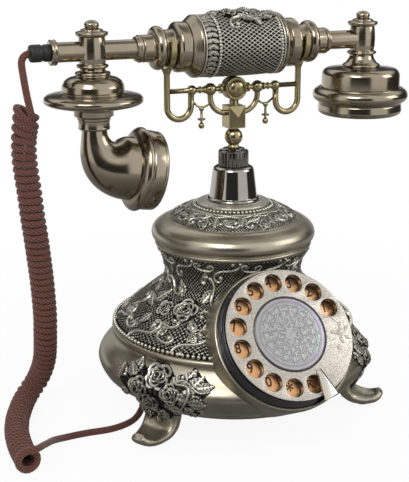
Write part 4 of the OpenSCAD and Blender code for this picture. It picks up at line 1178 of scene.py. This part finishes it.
def make_feet():
    """Three curled feet with a scooped face, a raised rim and a rolled toe."""
    spine = [
        (84, 19), (85, 15.5), (87.4, 11), (92, 7.2), (98, 5.5), (103, 5.1), (107.5, 5.9), (110.5, 7.6),
        (112.3, 10),
    ]
    widths = [14.6, 14.5, 14.4, 13.6, 12.2, 10.8, 9.4, 7.4, 4.6]
    thick = [6, 6, 5.6, 4.6, 3.9, 3.7, 3.6, 3.3, 2.5]
    path = smooth_path([(x, 0, z) for x, z in spine], 7)
    last = len(path) - 1
    bm = bmesh.new()

    def section(u, v):
        i = round(v * last)
        s = v * (len(spine) - 1)
        half, deep = np.interp(s, range(len(spine)), widths), np.interp(s, range(len(spine)), thick)
        heading = (path[min(i + 1, last)] - path[max(i - 1, 0)]).normalized()
        out = Vector((-heading.z, 0, heading.x))
        turn = math.tau * u
        x = math.copysign(abs(math.cos(turn)) ** 0.75, math.cos(turn)) * half
        rise = math.copysign(abs(math.sin(turn)) ** 0.8, math.sin(turn)) * deep
        if rise > 0:
            hollow = max(0.0, 1 - (x / (half * 0.80)) ** 2)
            scoop = hollow * min(1, v * 3) * (1 - max(0, (v - 0.86) / 0.14) ** 2)
            rise -= scoop * min(2.6, deep * 0.75)
        place = path[i] + out * rise
        return Vector((place.x, x, place.z)) * MM

    def worn(u, v):
        top = math.sin(math.tau * u)
        speck = 0.5 + 0.5 * math.sin(u * 91) * math.sin(v * 67)
        return 0.86 - (0.42 * speck * (1 - v) if top > 0.4 and v < 0.75 else 0)

    for angle in FOOT_ANGLES:
        part = bmesh.new()
        mapped_grid(part, 56, last, section, worn)
        bmesh.ops.remove_doubles(part, verts=part.verts[:], dist=1e-6)
        bmesh.ops.holes_fill(part, edges=[e for e in part.edges if e.is_boundary])
        add(bm, part, Matrix.Rotation(math.radians(angle), 4, "Z"))
    shown("curled_feet", bm, "foot", "base", ("feet",), sharp=60)


# ---------- dial ----------

def flat_plate(outline_r, holes, thickness, soft=0.0):
    """A round plate with round holes, (x, y, radius) in millimetres; its face is at height 0."""
    data = bpy.data.curves.new("plate outline", "CURVE")
    data.dimensions, data.fill_mode = "2D", "BOTH"
    data.extrude = (thickness / 2 - soft) * MM
    data.bevel_depth, data.offset, data.bevel_resolution = soft * MM, -soft * MM, 2
    for x, y, r in [(0, 0, outline_r), *holes]:
        count = 144 if r > 20 else 40
        spline = data.splines.new("POLY")
        spline.points.add(count - 1)
        for i, point in enumerate(spline.points):
            turn = math.tau * i / count
            point.co = ((x + r * math.cos(turn)) * MM, (y + r * math.sin(turn)) * MM, 0, 1)
        spline.use_cyclic_u = True
    bm = meshed(data)
    bmesh.ops.translate(bm, verts=bm.verts[:], vec=(0, 0, -thickness / 2 * MM))
    return bm


def meshed(data):
    """Turns a curve or a text into a bmesh."""
    holder = bpy.data.objects.new("outline", data)
    mesh = bpy.data.meshes.new_from_object(holder)
    bm = bmesh.new()
    bm.from_mesh(mesh)
    bpy.data.objects.remove(holder)
    bpy.data.meshes.remove(mesh)
    bpy.data.curves.remove(data)
    bmesh.ops.remove_doubles(bm, verts=bm.verts[:], dist=1e-7)
    return bm


def round_edges(bm, edges):
    """Rounds edges by 0.2 mm."""
    bmesh.ops.bevel(bm, geom=edges, offset=0.2 * MM, affect="EDGES", segments=2, profile=0.5, material=-1)


def prism(bm, corners, low, high, matrix):
    """Adds an upright prism over a polygon, in millimetres, with soft edges."""
    part = bmesh.new()
    face = part.faces.new([part.verts.new((x * MM, y * MM, low * MM)) for x, y in corners])
    raised = bmesh.ops.extrude_face_region(part, geom=[face])["geom"]
    top = [item for item in raised if isinstance(item, bmesh.types.BMVert)]
    bmesh.ops.translate(part, verts=top, vec=(0, 0, (high - low) * MM))
    bmesh.ops.holes_fill(part, edges=[e for e in part.edges if e.is_boundary])
    bmesh.ops.recalc_face_normals(part, faces=part.faces[:])
    round_edges(part, [e for e in part.edges if len(e.link_faces) == 2 and e.calc_face_angle() > 0.6])
    add(bm, part, matrix)


def hole_places(radius):
    """The finger holes as (x, y, radius), in the dial's own frame."""
    turns = [math.radians(FIRST_HOLE - HOLE_STEP * k) for k in range(len(DIGITS))]
    return [(HOLE_CIRCLE * math.sin(t), HOLE_CIRCLE * math.cos(t), radius) for t in turns]


def make_dial():
    """Finger wheel, hub, number plate with its digits, bezel, housing and finger stop."""
    face = dial_matrix()
    wheel = flat_plate(WHEEL_R, hole_places(HOLE_R), 1.1, 0.28)
    under = flat_plate(PLATE_R, hole_places(HOLE_R - 0.12), 3.5, 0.15)
    under.transform(Matrix.Translation((0, 0, -1.1 * MM)))
    wheel.transform(face)
    under.transform(face)
    shown("wheel_face", wheel, "wheel", "dial_wheel", ("finger_wheel",))
    shown("wheel_back", under, "gloss_black", "dial_wheel")
    disc = Shell([(45.6, 0), (26.8, 0)], face)
    spray = Relief(disc, (-34, 20), (1, 17), 0.3, ground=-0.4)
    spray.rose(-7, 8, 3.2, 0.55)
    for angle, along, lean in (
        (-12, 8, 200), (-2, 8, -20), (-7, 11, 80), (-10, 5, -120), (-4, 5, -60), (-20, 9, 170),
    ):
        spray.leaf(angle, along, 5, 2.6, lean, 0.45)
    spray.ridge(dense_path([(-30, 9), (-22, 7), (-12, 9), (-2, 7), (6, 9), (12, 12)]), 0.7, 0.3)
    spray.backed(0.1, 0)
    bm = spray.sheet()
    bmesh.ops.delete(bm, geom=buried_faces(bm), context="FACES")
    laid("wheel_flowers", bm, "wheel", "dial_wheel")

    rim = [(25.25, -0.4), (26.8, -0.4), (26.8, 0.3), (26.4, 0.7), (25.25, 0.5)]
    turned_piece("hub_rim", rim, "gloss_black", "dial_wheel", ("hub_ring",), 0.15, [face], 144)
    shell = Shell([(25.2, 0.3), (20, 0.7), (10, 1.0), (0.6, 1.1)], face)
    hub = Relief(shell, (0, 360), (0.1, 24.5), 0.42, ground=0)
    for count, along, size, lean, hand in (
        (16, 6.2, 15, 8, -1), (16, 9.4, 12, -10, 1), (12, 12.6, 13, 20, -1), (10, 15.8, 11, -15, 1),
        (7, 19, 10, 90, -1),
    ):
        for i in range(count):
            hub.scroll(360 * i / count, along, size, lean, 0.85, hand, 0.6, 0.18)
            hub.leaf(360 * (i + 0.5) / count, along - 1.5, 4, 2.2, 90, 0.18)
    hub.rose(0, 24.4, 4.6, 0.25)
    for along in (2.2, 3.1, 5.2):
        hub.ring(along, 0.5, 0.12)
    bm = hub.sheet()
    bmesh.ops.holes_fill(bm, edges=[e for e in bm.edges if e.is_boundary])
    shown("hub_plate", bm, "hub", "dial_wheel", ("hub_disc",), sharp=60)

    plate = [(7, -7.2), (PLATE_R, -7.2), (PLATE_R, -6.2), (7, -6.2)]
    turned_piece("copper_plate", plate, "copper", "base", ("number_plate",), 0.2, [face], 144)
    bm = bmesh.new()
    for digit, (x, y, _) in zip(DIGITS, hole_places(0)):
        data = bpy.data.curves.new("digit", "FONT")
        data.body = digit
        data.size = OTHER_SIZES.get(digit, DIGIT_SIZE) * MM
        data.align_x, data.align_y = "CENTER", "CENTER"
        data.extrude, data.offset = 0.05 * MM, DIGIT_WEIGHT * MM
        drop = -2.2 if digit == "*" else 0
        x, y = x + DIGIT_SHIFT[0], y + DIGIT_SHIFT[1] + drop
        place = Matrix.Translation((x * MM, y * MM, DIGIT_HEIGHT * MM)) @ Matrix.Diagonal(DIGIT_SQUEEZE)
        add(bm, meshed(data), face @ place)
    shown("digits", bm, "ink", "base")
    bezel = [
        (45.4, -12), (48.6, -12), (48.6, -10.6), (47.8, -10.2), (48.2, -9), (48, -7.8), (47.3, -7.4),
        (47.7, -6.2), (47.4, -5), (46.9, -3.4), (46.4, -3.1), (45.6, -3.3), (45.4, -5.2),
    ]
    turned_piece(
        "ridged_bezel", bezel, "gloss_black", "base", ("dial_bezel",), 0.35, [face], 160
    )
    smooth_copy("dial_housing", "base")
    turned = face @ Matrix.Rotation(-math.radians(STOP_ANGLE), 4, "Z")
    bm = bmesh.new()
    turns = [math.radians(a) for a in (0, 3, 6, 9, 12)]
    rim = [(50.2 * math.sin(t), 50.2 * math.cos(t)) for t in turns]
    root = [(48.8 * math.sin(t), 48.8 * math.cos(t)) for t in reversed(turns)]
    prism(bm, [(-0.6, 30), (-0.6, 50.2), *rim, (1.4, 30)], 0.5, 2.4, turned)
    prism(bm, rim + root, -11.2, 1.6, turned)
    shown("finger_stop_plate", bm, "silver", "base", ("finger_stop",))
    # Painted shade: a thin black strip over the left side wall of the raised finger stop, standing for the
    # shade on that wall.
    bm = bmesh.new()
    size = Matrix.Diagonal((0.9 * MM, 19.6 * MM, 2.2 * MM, 1))
    edge = Matrix.Translation((-1.1 * MM, 40.2 * MM, 1.3 * MM)) @ size
    bmesh.ops.create_cube(bm, size=1, matrix=turned @ edge)
    round_edges(bm, bm.edges[:])
    shown("finger_stop_shade_strip", bm, "gloss_black", "base")


def buried_faces(bm):
    """Faces of a relief that lie wholly under its shell."""
    layer = bm.verts.layers.float["relief"]
    return [face for face in bm.faces if all(vert[layer] < -0.5 for vert in face.verts)]


# ---------- cradle ----------

def make_cradle():
    """The cradle's turned bar, loops, forks and arms, smooth and with soft edges."""
    for name, bevel in (
        ("cradle_post", 0), ("cradle_block", 0.3), ("centre_boss", 0), ("cradle_bar", 0), ("hanger_loops", 0),
        ("cradle_forks", 0.3), ("cradle_arms", 0),
    ):
        smooth_copy(name, "cradle", bevel)
    bm = bmesh.new()
    for way in (1, -1):
        flat = Matrix.Rotation(way * math.pi / 2, 4, "X") @ Matrix.Diagonal((12.6, 15.6, 1, 1))
        place = Matrix.Translation((0, -way * 6.9 * MM, 216.5 * MM)) @ Matrix.Diagonal((MM, MM, MM, 1)) @ flat
        bmesh.ops.create_cone(
            bm, cap_ends=True, segments=4, radius1=math.sqrt(0.5), radius2=0, depth=2,
            matrix=place @ Matrix.Rotation(math.pi / 4, 4, "Z"),
        )
    shown("block_facets", bm, "gold", "cradle", sharp=5)


# ---------- handset ----------

def both_ends(bm, outline, start=0.0, steps=112):
    """A turned piece on the handset's axis and its mirror image; outline heights are from start outwards."""
    for side in (1, -1):
        lathe(bm, [(r, z + start) for r, z in outline], handset_matrix(side), steps)


def make_grip(sizes):
    """The grip: a net of fine lines with roses on top, end bands, flanges, and the turned necks."""
    shell = Shell([(20.4, -31), (21.1, -16), (21.3, 0), (21.1, 16), (20.4, 31)], handset_matrix())
    grip = Relief(shell, (0, 360), (0.2, 61.8), 0.36, ground=0.1)
    grip.net(GRIP_STRANDS, sizes.mesh_gap / MM, sizes.mesh_h / MM)
    for first, last in ((0.6, 10), (58, 61.4)):
        grip.bare(np.abs(grip.along - (first + last) / 2) < (last - first) / 2)
    for i in range(32):
        grip.leaf(i * 11.25, 1.6, 5.4, 3.4, 120, 1.1)
        grip.leaf(i * 11.25 + 5, 5.4, 5.0, 3.2, 60, 1.0)
    for along in (1.0, 60.8):
        grip.ring(along, 1.3, 1.2)
    for end in (11.2, 58.6):
        for i in range(60):
            grip.boss(i * 6, end, 1.15, 1.2)
    draw_all(grip.leaf, 0, (
        (176, 20, 14, 8, 200), (186, 17, 13, 8, 150), (192, 24, 14, 8, 80), (170, 29, 13, 8, 30),
        (194, 38, 15, 8, 20), (176, 45, 14, 8, -10), (188, 50, 12, 7, 60), (202, 30, 14, 7, 60),
        (206, 42, 12, 6, 80), (160, 34, 12, 7, 200), (198, 20, 12, 7, 100), (168, 46, 12, 7, -60),
    ), 2.6, 0.6)
    grip.scroll(206, 30, 44, 100, 0.8, -1, 1.9, 2.2)
    for angle, along, radius, height in (
        (184, 24, 7.0, 4.4), (182, 37, 8.0, 4.8), (172, 47, 5.6, 3.8), (196, 45, 5.2, 3.4),
        (178, 14, 4.8, 3.2),
    ):
        grip.rose(angle, along, radius, height, angle * 5)
    bm = grip.sheet()
    bmesh.ops.holes_fill(bm, edges=[e for e in bm.edges if e.is_boundary])
    shown("grip_net", bm, "ornament", "handset", ("grip_sleeve", "grip_relief"), sharp=70)

    bm = bmesh.new()
    cap = [(6.65, 0)] + arc(20.3, 1.3, 1.3, -90, 40, 5) + [(20, 3.6), (17.4, 6.6), (16.6, 7), (6.65, 7)]
    both_ends(bm, softened(cap, 0.6), GRIP_HALF)
    shown("grip_end_caps", bm, "pewter", "handset", ("end_caps",))
    bm = bmesh.new()
    ring = [(11 + p[1], 58.5 + p[0]) for p in arc(0, 0, 4, 160, 20, 10)]
    neck = [
        (6.65, 38), (16.6, 38), (17.2, 38.8), (17.2, 44.6), (16.8, 45.6), (15, 47), (13, 48), (12.2, 48.6),
        (12.2, 54), (12.6, 54.4), *ring, (9.3, 62.8), (9.3, 69.4), (9, 70), (8.2, 70.4), (9.4, 71),
        (9.4, 72.2), (8.4, 72.8), (8.4, 74.2), (6.65, 75),
    ]
    both_ends(bm, softened(neck, 0.5))
    shown("turned_necks", bm, "pewter", "handset", ("neck_cones",))


def turned_pewter(name, outline, hides, soft, places, steps):
    """Shows a turned pewter piece of the handset."""
    turned_piece(name, outline, "pewter", "handset", hides, soft, places, steps)


def pierced_cap(name, outline, place, grille, grille_place, hides):
    """Shows a turned cap with a plate of sound holes in it; grille is the plate's radius and thickness."""
    bm = bmesh.new()
    lathe(bm, softened(outline), place, 144)
    radius, thickness = grille
    add(bm, flat_plate(radius, grille_holes(), thickness, 0.2), grille_place)
    shown(name, bm, "pewter", "handset", hides)


def make_handset():
    """Tubes, barrels, finials, mouthpiece, earpiece and the cord's collar."""
    bm = bmesh.new()
    lathe(bm, [(5.4, -99.4), (6.6, -99.4), (6.6, 99.4), (5.4, 99.4)], handset_matrix(), 96)
    lathe(bm, [(5.4, 109.4), (6.6, 109.4), (6.6, 129.1), (5.4, 129.1)], handset_matrix(-1), 96)
    shown("handset_tube", bm, "pewter", "handset", ("handset_tubes",))
    ends = [upright(BARREL_X), upright(-BARREL_X)]
    barrel = [
        (0, 256), (8.8, 256), (10.4, 256.2), (11, 257.2), (10.4, 258.2), (8.8, 258.6), (9.4, 262),
        (9.6, 267), (9.3, 272), (8.7, 276.6), (0, 276.6),
    ]
    turned_pewter("barrels", barrel, ("tee_barrels",), 0.5, ends, 96)
    knob = [(5.1 * x, 283.9 + 3.4 * y) for x, y in arc(0, 0, 1, -30, 84, 10)]
    finial = [
        (0, 276.6), (9.4, 276.6), (10.8, 277.6), (11.1, 278.8), (10.4, 279.8), (7.6, 280.2), (7.6, 281.2),
        (5.4, 281.8), (4.2, 282.2), *knob, (0, 287.3),
    ]
    turned_pewter("finial_knobs", finial, ("finials",), 0.4, ends, 96)
    dome = [
        (0, 256), (8.8, 256), (8.6, 254), (11.6, 253.4), (12.3, 252.4), (11.6, 251.2), (12.6, 250.5),
        (16.2, 249.6), (19.2, 247.6), (21, 244.4), (21.4, 240.6), (20.8, 239.6), (22, 239), (27, 238.6),
        (31.5, 237.8), (33.4, 236.4), (33.9, 234.7), (33.4, 233), (31, 231.6), (26, 230.4), (20, 229.2),
        (15, 228.6), (13.5, 228), (13.5, 224), (12.8, 223.6), (11.4, 223.2), (11.4, 221.4), (10.7, 221),
        (10.7, 216.6), (11, 215.6), (10.2, 214.5), (0, 214.5),
    ]
    turned_pewter("mouth_saucer", dome, ("mouth_dome",), 0.8, [upright(-BARREL_X)], 144)
    make_horn()
    cup = [
        (0, 256), (8.8, 256), (8.8, 255), (9.6, 252.6), (11.4, 250), (13.6, 248.6), (14.2, 247.8),
        (13.6, 247.2), (14.6, 246.8), (20, 246.2), *arc(23.6, 240.4, 5.4, 80, 0, 8), (29, 231.2),
        (28.4, 230.6), (0, 230.6),
    ]
    turned_pewter("ear_dome", cup, ("ear_cup",), 0.5, [upright(BARREL_X)], 144)
    rim = [
        (24, 230.6), (28.4, 230.6), (29.6, 231.6), (31.6, 231.4), *arc(30.4, 226.2, 5, 75, -75, 12),
        (31.4, 220.8), (30.4, 220), (30.8, 219.2), (31.2, 215), (30.4, 213), (28.6, 211.8), (24, 211),
        (23.4, 211.6), (23.4, 230.6),
    ]
    turned_over = upright(BARREL_X, 0, 211.7) @ Matrix.Rotation(math.pi, 4, "X")
    pierced_cap("ear_ring", rim, upright(BARREL_X), (23.3, 1.6), turned_over, ("ear_cap",))
    bm = bmesh.new()
    collar = [
        (3.4, 0), (7.4, 0), (8.3, 0.4), (8.6, 1.2), (8, 2.1), (8, 2.5), (8.5, 3.1), (8.6, 3.8), (8, 4.5),
        (6.2, 4.8), (3.4, 4.8),
    ]
    lathe(bm, [(r, z - 133.9) for r, z in softened(collar, 0.3)], handset_matrix(), 96)
    shown("collar_ring", bm, "pewter", "handset", ("cord_collar",))


def grille_holes():
    """Seven sound holes, in millimetres."""
    ring = [(9 * math.cos(k * math.tau / 6), 9 * math.sin(k * math.tau / 6), 1.2) for k in range(6)]
    return [(0, 0, 1.2), *ring]


def make_horn():
    """The mouthpiece: a horn that curves forward, and its ringed mouth with a grille."""
    forward = Vector((math.cos(MOUTH_TILT), 0, -math.sin(MOUTH_TILT)))
    top = Vector((-BARREL_X, 0, 214.5))
    end = MOUTH_CENTRE - 5.2 * forward
    bend = [top - Vector((0, 0, 1)), top - Vector((0, 0, 17)), end - 19 * forward, end - forward]
    points = [top]
    for i in range(33):
        t = i / 32
        shares = ((1 - t) ** 3, 3 * (1 - t) ** 2 * t, 3 * (1 - t) * t * t, t**3)
        points.append(sum((share * place for share, place in zip(shares, bend)), Vector()))
    points.append(end)
    bm = bmesh.new()
    tube(bm, points, lambda t: 8.6 + 13.6 * math.sin(math.pi / 2 * t) ** 1.7, 96)
    shown("mouth_horn", bm, "pewter", "handset", ("mouth_elbow",))
    ring = [
        (21, -5.2), (22.4, -5.2), (25.6, -4.4), (27.8, -2.9), (29, -1.4), (29.4, 0), (29, 1.2), (27.4, 1.8),
        (27.2, 2.6), (27.7, 3.2), (27.9, 6), (27.7, 10.4), (27.2, 10.6), (27.7, 11), (27.6, 12.4),
        (26.8, 13.2), (25.4, 13.4), (24.4, 12.6), (23.6, 11.2), (21, 11.0),
    ]
    grille_place = mouth_matrix() @ Matrix.Translation((0, 0, 11.1 * MM))
    pierced_cap("mouth_ring", ring, mouth_matrix(), (23.4, 1.8), grille_place, ("mouth_cap",))


# ---------- stage ----------

def world_light():
    """A plain pale studio: white behind the object, softboxes and a dimmer room in front of it."""
    world = bpy.data.worlds.new("studio")
    bpy.context.scene.world = world
    world.use_nodes = True
    tree = world.node_tree
    tree.nodes.clear()
    place = node(tree, "TexCoord")
    split = node(tree, "SeparateXYZ")
    tree.links.new(place.outputs["Generated"], split.inputs[0])

    level_way = node(tree, "VectorMath", operation="MULTIPLY")
    level_way.inputs[1].default_value = (1, 1, 0)
    tree.links.new(place.outputs["Generated"], level_way.inputs[0])
    heading = node(tree, "VectorMath", operation="NORMALIZE")
    tree.links.new(level_way.outputs["Vector"], heading.inputs[0])
    above_floor = level(tree, split.outputs["Z"], 0, 1, -0.75, -0.45)

    def softbox(azimuth, start, end, strength):
        dot = node(tree, "VectorMath", operation="DOT_PRODUCT")
        turn = math.radians(azimuth)
        dot.inputs[1].default_value = (math.cos(turn), math.sin(turn), 0)
        tree.links.new(heading.outputs["Vector"], dot.inputs[0])
        spot = level(tree, dot.outputs["Value"], 0, strength, start, end)
        return sum_of(tree, "MULTIPLY", spot, above_floor)

    front = level(tree, split.outputs["Z"], 0.05, 1.0, 0.36, 0.58)
    overhead = level(tree, split.outputs["Z"], 1.0, 0.28, 0.76, 0.92)
    room = sum_of(tree, "MULTIPLY", front, overhead)
    for light in (
        softbox(195, 0.968, 0.98, 1.0), softbox(296, 0.88, 0.91, 1.0),
        sum_of(tree, "MULTIPLY", level(tree, split.outputs["Y"], 0, 1.0, 0.45, 0.70),
               level(tree, split.outputs["Z"], 1.0, 0, 0.02, 0.16)),
    ):
        room = sum_of(tree, "MAXIMUM", room, light)
    paths = node(tree, "LightPath")
    sharp = node(tree, "Background")
    tree.links.new(room, sharp.inputs["Color"])
    soft = node(tree, "Background", {"Color": (0.62, 0.62, 0.62, 1)})
    white = node(tree, "Background", {"Color": (1, 1, 1, 1)})
    lit = mixed_shaders(tree, paths.outputs["Is Glossy Ray"], soft.outputs[0], sharp.outputs[0])
    surface = mixed_shaders(tree, seen_directly(tree, paths), lit, white.outputs[0])
    tree.links.new(surface, node(tree, "OutputWorld").inputs["Surface"])


def floor():
    """A wide floor, nearly white, that keeps a soft shadow."""
    bm = bmesh.new()
    bmesh.ops.create_circle(bm, cap_ends=True, segments=64, radius=1.1)
    mesh = bpy.data.meshes.new("floor")
    bm.to_mesh(mesh)
    bm.free()
    piece = bpy.data.objects.new("floor", mesh)
    bpy.context.scene.collection.objects.link(piece)
    material, tree, shader = fresh_material(
        "floor", {"Base Color": (0.9, 0.9, 0.9, 1), "Roughness": 1, "Specular IOR Level": 0}
    )
    far = node(tree, "VectorMath", operation="LENGTH")
    tree.links.new(node(tree, "TexCoord").outputs["Object"], far.inputs[0])
    white = node(tree, "Emission", {"Color": (1, 1, 1, 1), "Strength": 1})
    dim = node(tree, "Emission", {"Color": (1, 1, 1, 1)})
    tree.links.new(level(tree, far.outputs["Value"], 0.16, 0.5, 0.12, 0.6), dim.inputs["Strength"])
    paths = node(tree, "LightPath")
    whiteness = level(tree, far.outputs["Value"], 0.93, 1, 0.2, 0.6)
    share = sum_of(tree, "MULTIPLY", seen_directly(tree, paths), whiteness)
    lit = mixed_shaders(tree, share, shader.outputs[0], white.outputs[0])
    surface = mixed_shaders(tree, paths.outputs["Is Glossy Ray"], lit, dim.outputs[0])
    tree.links.new(surface, tree.nodes["Material Output"].inputs["Surface"])
    mesh.materials.append(material)


def lamp(name, place, size, power):
    """A square softbox that looks at the telephone."""
    data = bpy.data.lights.new(name, "AREA")
    data.shape = "SQUARE"
    data.size = size
    data.energy = power
    made = bpy.data.objects.new(name, data)
    bpy.context.scene.collection.objects.link(made)
    made.location = place
    made.rotation_mode = "QUATERNION"
    made.rotation_quaternion = (Vector((0, 0, 0.12)) - Vector(place)).to_track_quat("-Z", "Y")


def make_stage():
    """Floor, light and camera."""
    scene = bpy.context.scene
    scene.view_settings.view_transform = "Standard"
    world_light()
    floor()
    lamp("key", (-0.9, -0.9, 1.3), 0.7, 9)
    lamp("fill", (1.2, -0.7, 0.8), 0.7, 5)
    swing, rise = math.radians(CAMERA_SWING), math.radians(CAMERA_RISE)
    back = Vector((-math.sin(swing) * math.cos(rise), -math.cos(swing) * math.cos(rise), math.sin(rise)))
    data = bpy.data.cameras.new("camera")
    data.lens = CAMERA_LENS
    data.clip_start, data.clip_end = 0.01, 20
    camera = bpy.data.objects.new("camera", data)
    scene.collection.objects.link(camera)
    camera.location = Vector(CAMERA_TARGET) + back * CAMERA_DISTANCE
    camera.rotation_mode = "QUATERNION"
    camera.rotation_quaternion = (-back).to_track_quat("-Z", "Y")
    scene.camera = camera


# ---------- operators ----------

def settings():
    """The scene's own sizes and colours."""
    scene = bpy.context.scene
    return scene.phone_sizes, scene.phone_colours


class PHONE_OT_stage(Operator):
    """Makes the floor, the light and the camera"""

    bl_idname = "phone.stage"
    bl_label = "Stage"

    def execute(self, context):
        make_stage()
        return {"FINISHED"}


class PHONE_OT_finishes(Operator):
    """Makes the finishes and gives every CAD node its own"""

    bl_idname = "phone.finishes"
    bl_label = "Finishes"

    def execute(self, context):
        finishes(settings()[1])
        finish_cad_nodes()
        return {"FINISHED"}


class PHONE_OT_cord(Operator):
    """Makes the coiled, braided cord"""

    bl_idname = "phone.cord"
    bl_label = "Cord"

    def execute(self, context):
        make_cord(settings()[0])
        return {"FINISHED"}


class PHONE_OT_casing(Operator):
    """Makes the lower casing, its three feet and the rose sprays over them"""

    bl_idname = "phone.casing"
    bl_label = "Casing and feet"

    def execute(self, context):
        make_casing()
        make_clusters()
        make_feet()
        return {"FINISHED"}


class PHONE_OT_skirt(Operator):
    """Makes the woven skirt with its scrolls, roses and beads"""

    bl_idname = "phone.skirt"
    bl_label = "Woven skirt"

    def execute(self, context):
        make_skirt(settings()[0])
        return {"FINISHED"}


class PHONE_OT_lid(Operator):
    """Makes the lid with its relief, and the column's flange, cone and nut"""

    bl_idname = "phone.lid"
    bl_label = "Lid and column"

    def execute(self, context):
        make_lid()
        return {"FINISHED"}


class PHONE_OT_dial(Operator):
    """Makes the dial"""

    bl_idname = "phone.dial"
    bl_label = "Dial"

    def execute(self, context):
        make_dial()
        return {"FINISHED"}


class PHONE_OT_cradle(Operator):
    """Makes the cradle"""

    bl_idname = "phone.cradle"
    bl_label = "Cradle"

    def execute(self, context):
        make_cradle()
        return {"FINISHED"}


class PHONE_OT_grip(Operator):
    """Makes the netted grip with its roses and the turned necks"""

    bl_idname = "phone.grip"
    bl_label = "Grip"

    def execute(self, context):
        make_grip(settings()[0])
        return {"FINISHED"}


class PHONE_OT_handset(Operator):
    """Makes the handset's tubes, mouthpiece and earpiece"""

    bl_idname = "phone.handset"
    bl_label = "Handset"

    def execute(self, context):
        make_handset()
        return {"FINISHED"}


OPERATORS = [
    PHONE_OT_stage, PHONE_OT_finishes, PHONE_OT_cord, PHONE_OT_casing, PHONE_OT_skirt, PHONE_OT_lid,
    PHONE_OT_dial, PHONE_OT_cradle, PHONE_OT_grip, PHONE_OT_handset,
]


class PHONE_PT_panel(Panel):
    """Lists the telephone's operators"""

    bl_idname = "PHONE_PT_panel"
    bl_label = "Telephone"
    bl_space_type = "VIEW_3D"
    bl_region_type = "UI"
    bl_category = "Telephone"

    def draw(self, context):
        for operator in OPERATORS:
            self.layout.operator(operator.bl_idname)


CLASSES = [PhoneSizes, PhoneColours, *OPERATORS, PHONE_PT_panel]


def register():
    """Registers the classes and the scene's settings."""
    for item in CLASSES:
        bpy.utils.register_class(item)
    bpy.types.Scene.phone_sizes = PointerProperty(type=PhoneSizes)
    bpy.types.Scene.phone_colours = PointerProperty(type=PhoneColours)


def unregister():
    """Undoes register()."""
    del bpy.types.Scene.phone_colours
    del bpy.types.Scene.phone_sizes
    for item in reversed(CLASSES):
        bpy.utils.unregister_class(item)


def main():
    """Builds everything in order."""
    register()
    for operator in OPERATORS:
        group, name = operator.bl_idname.split(".")
        getattr(getattr(bpy.ops, group), name)()


if __name__ == "__main__":
    main()
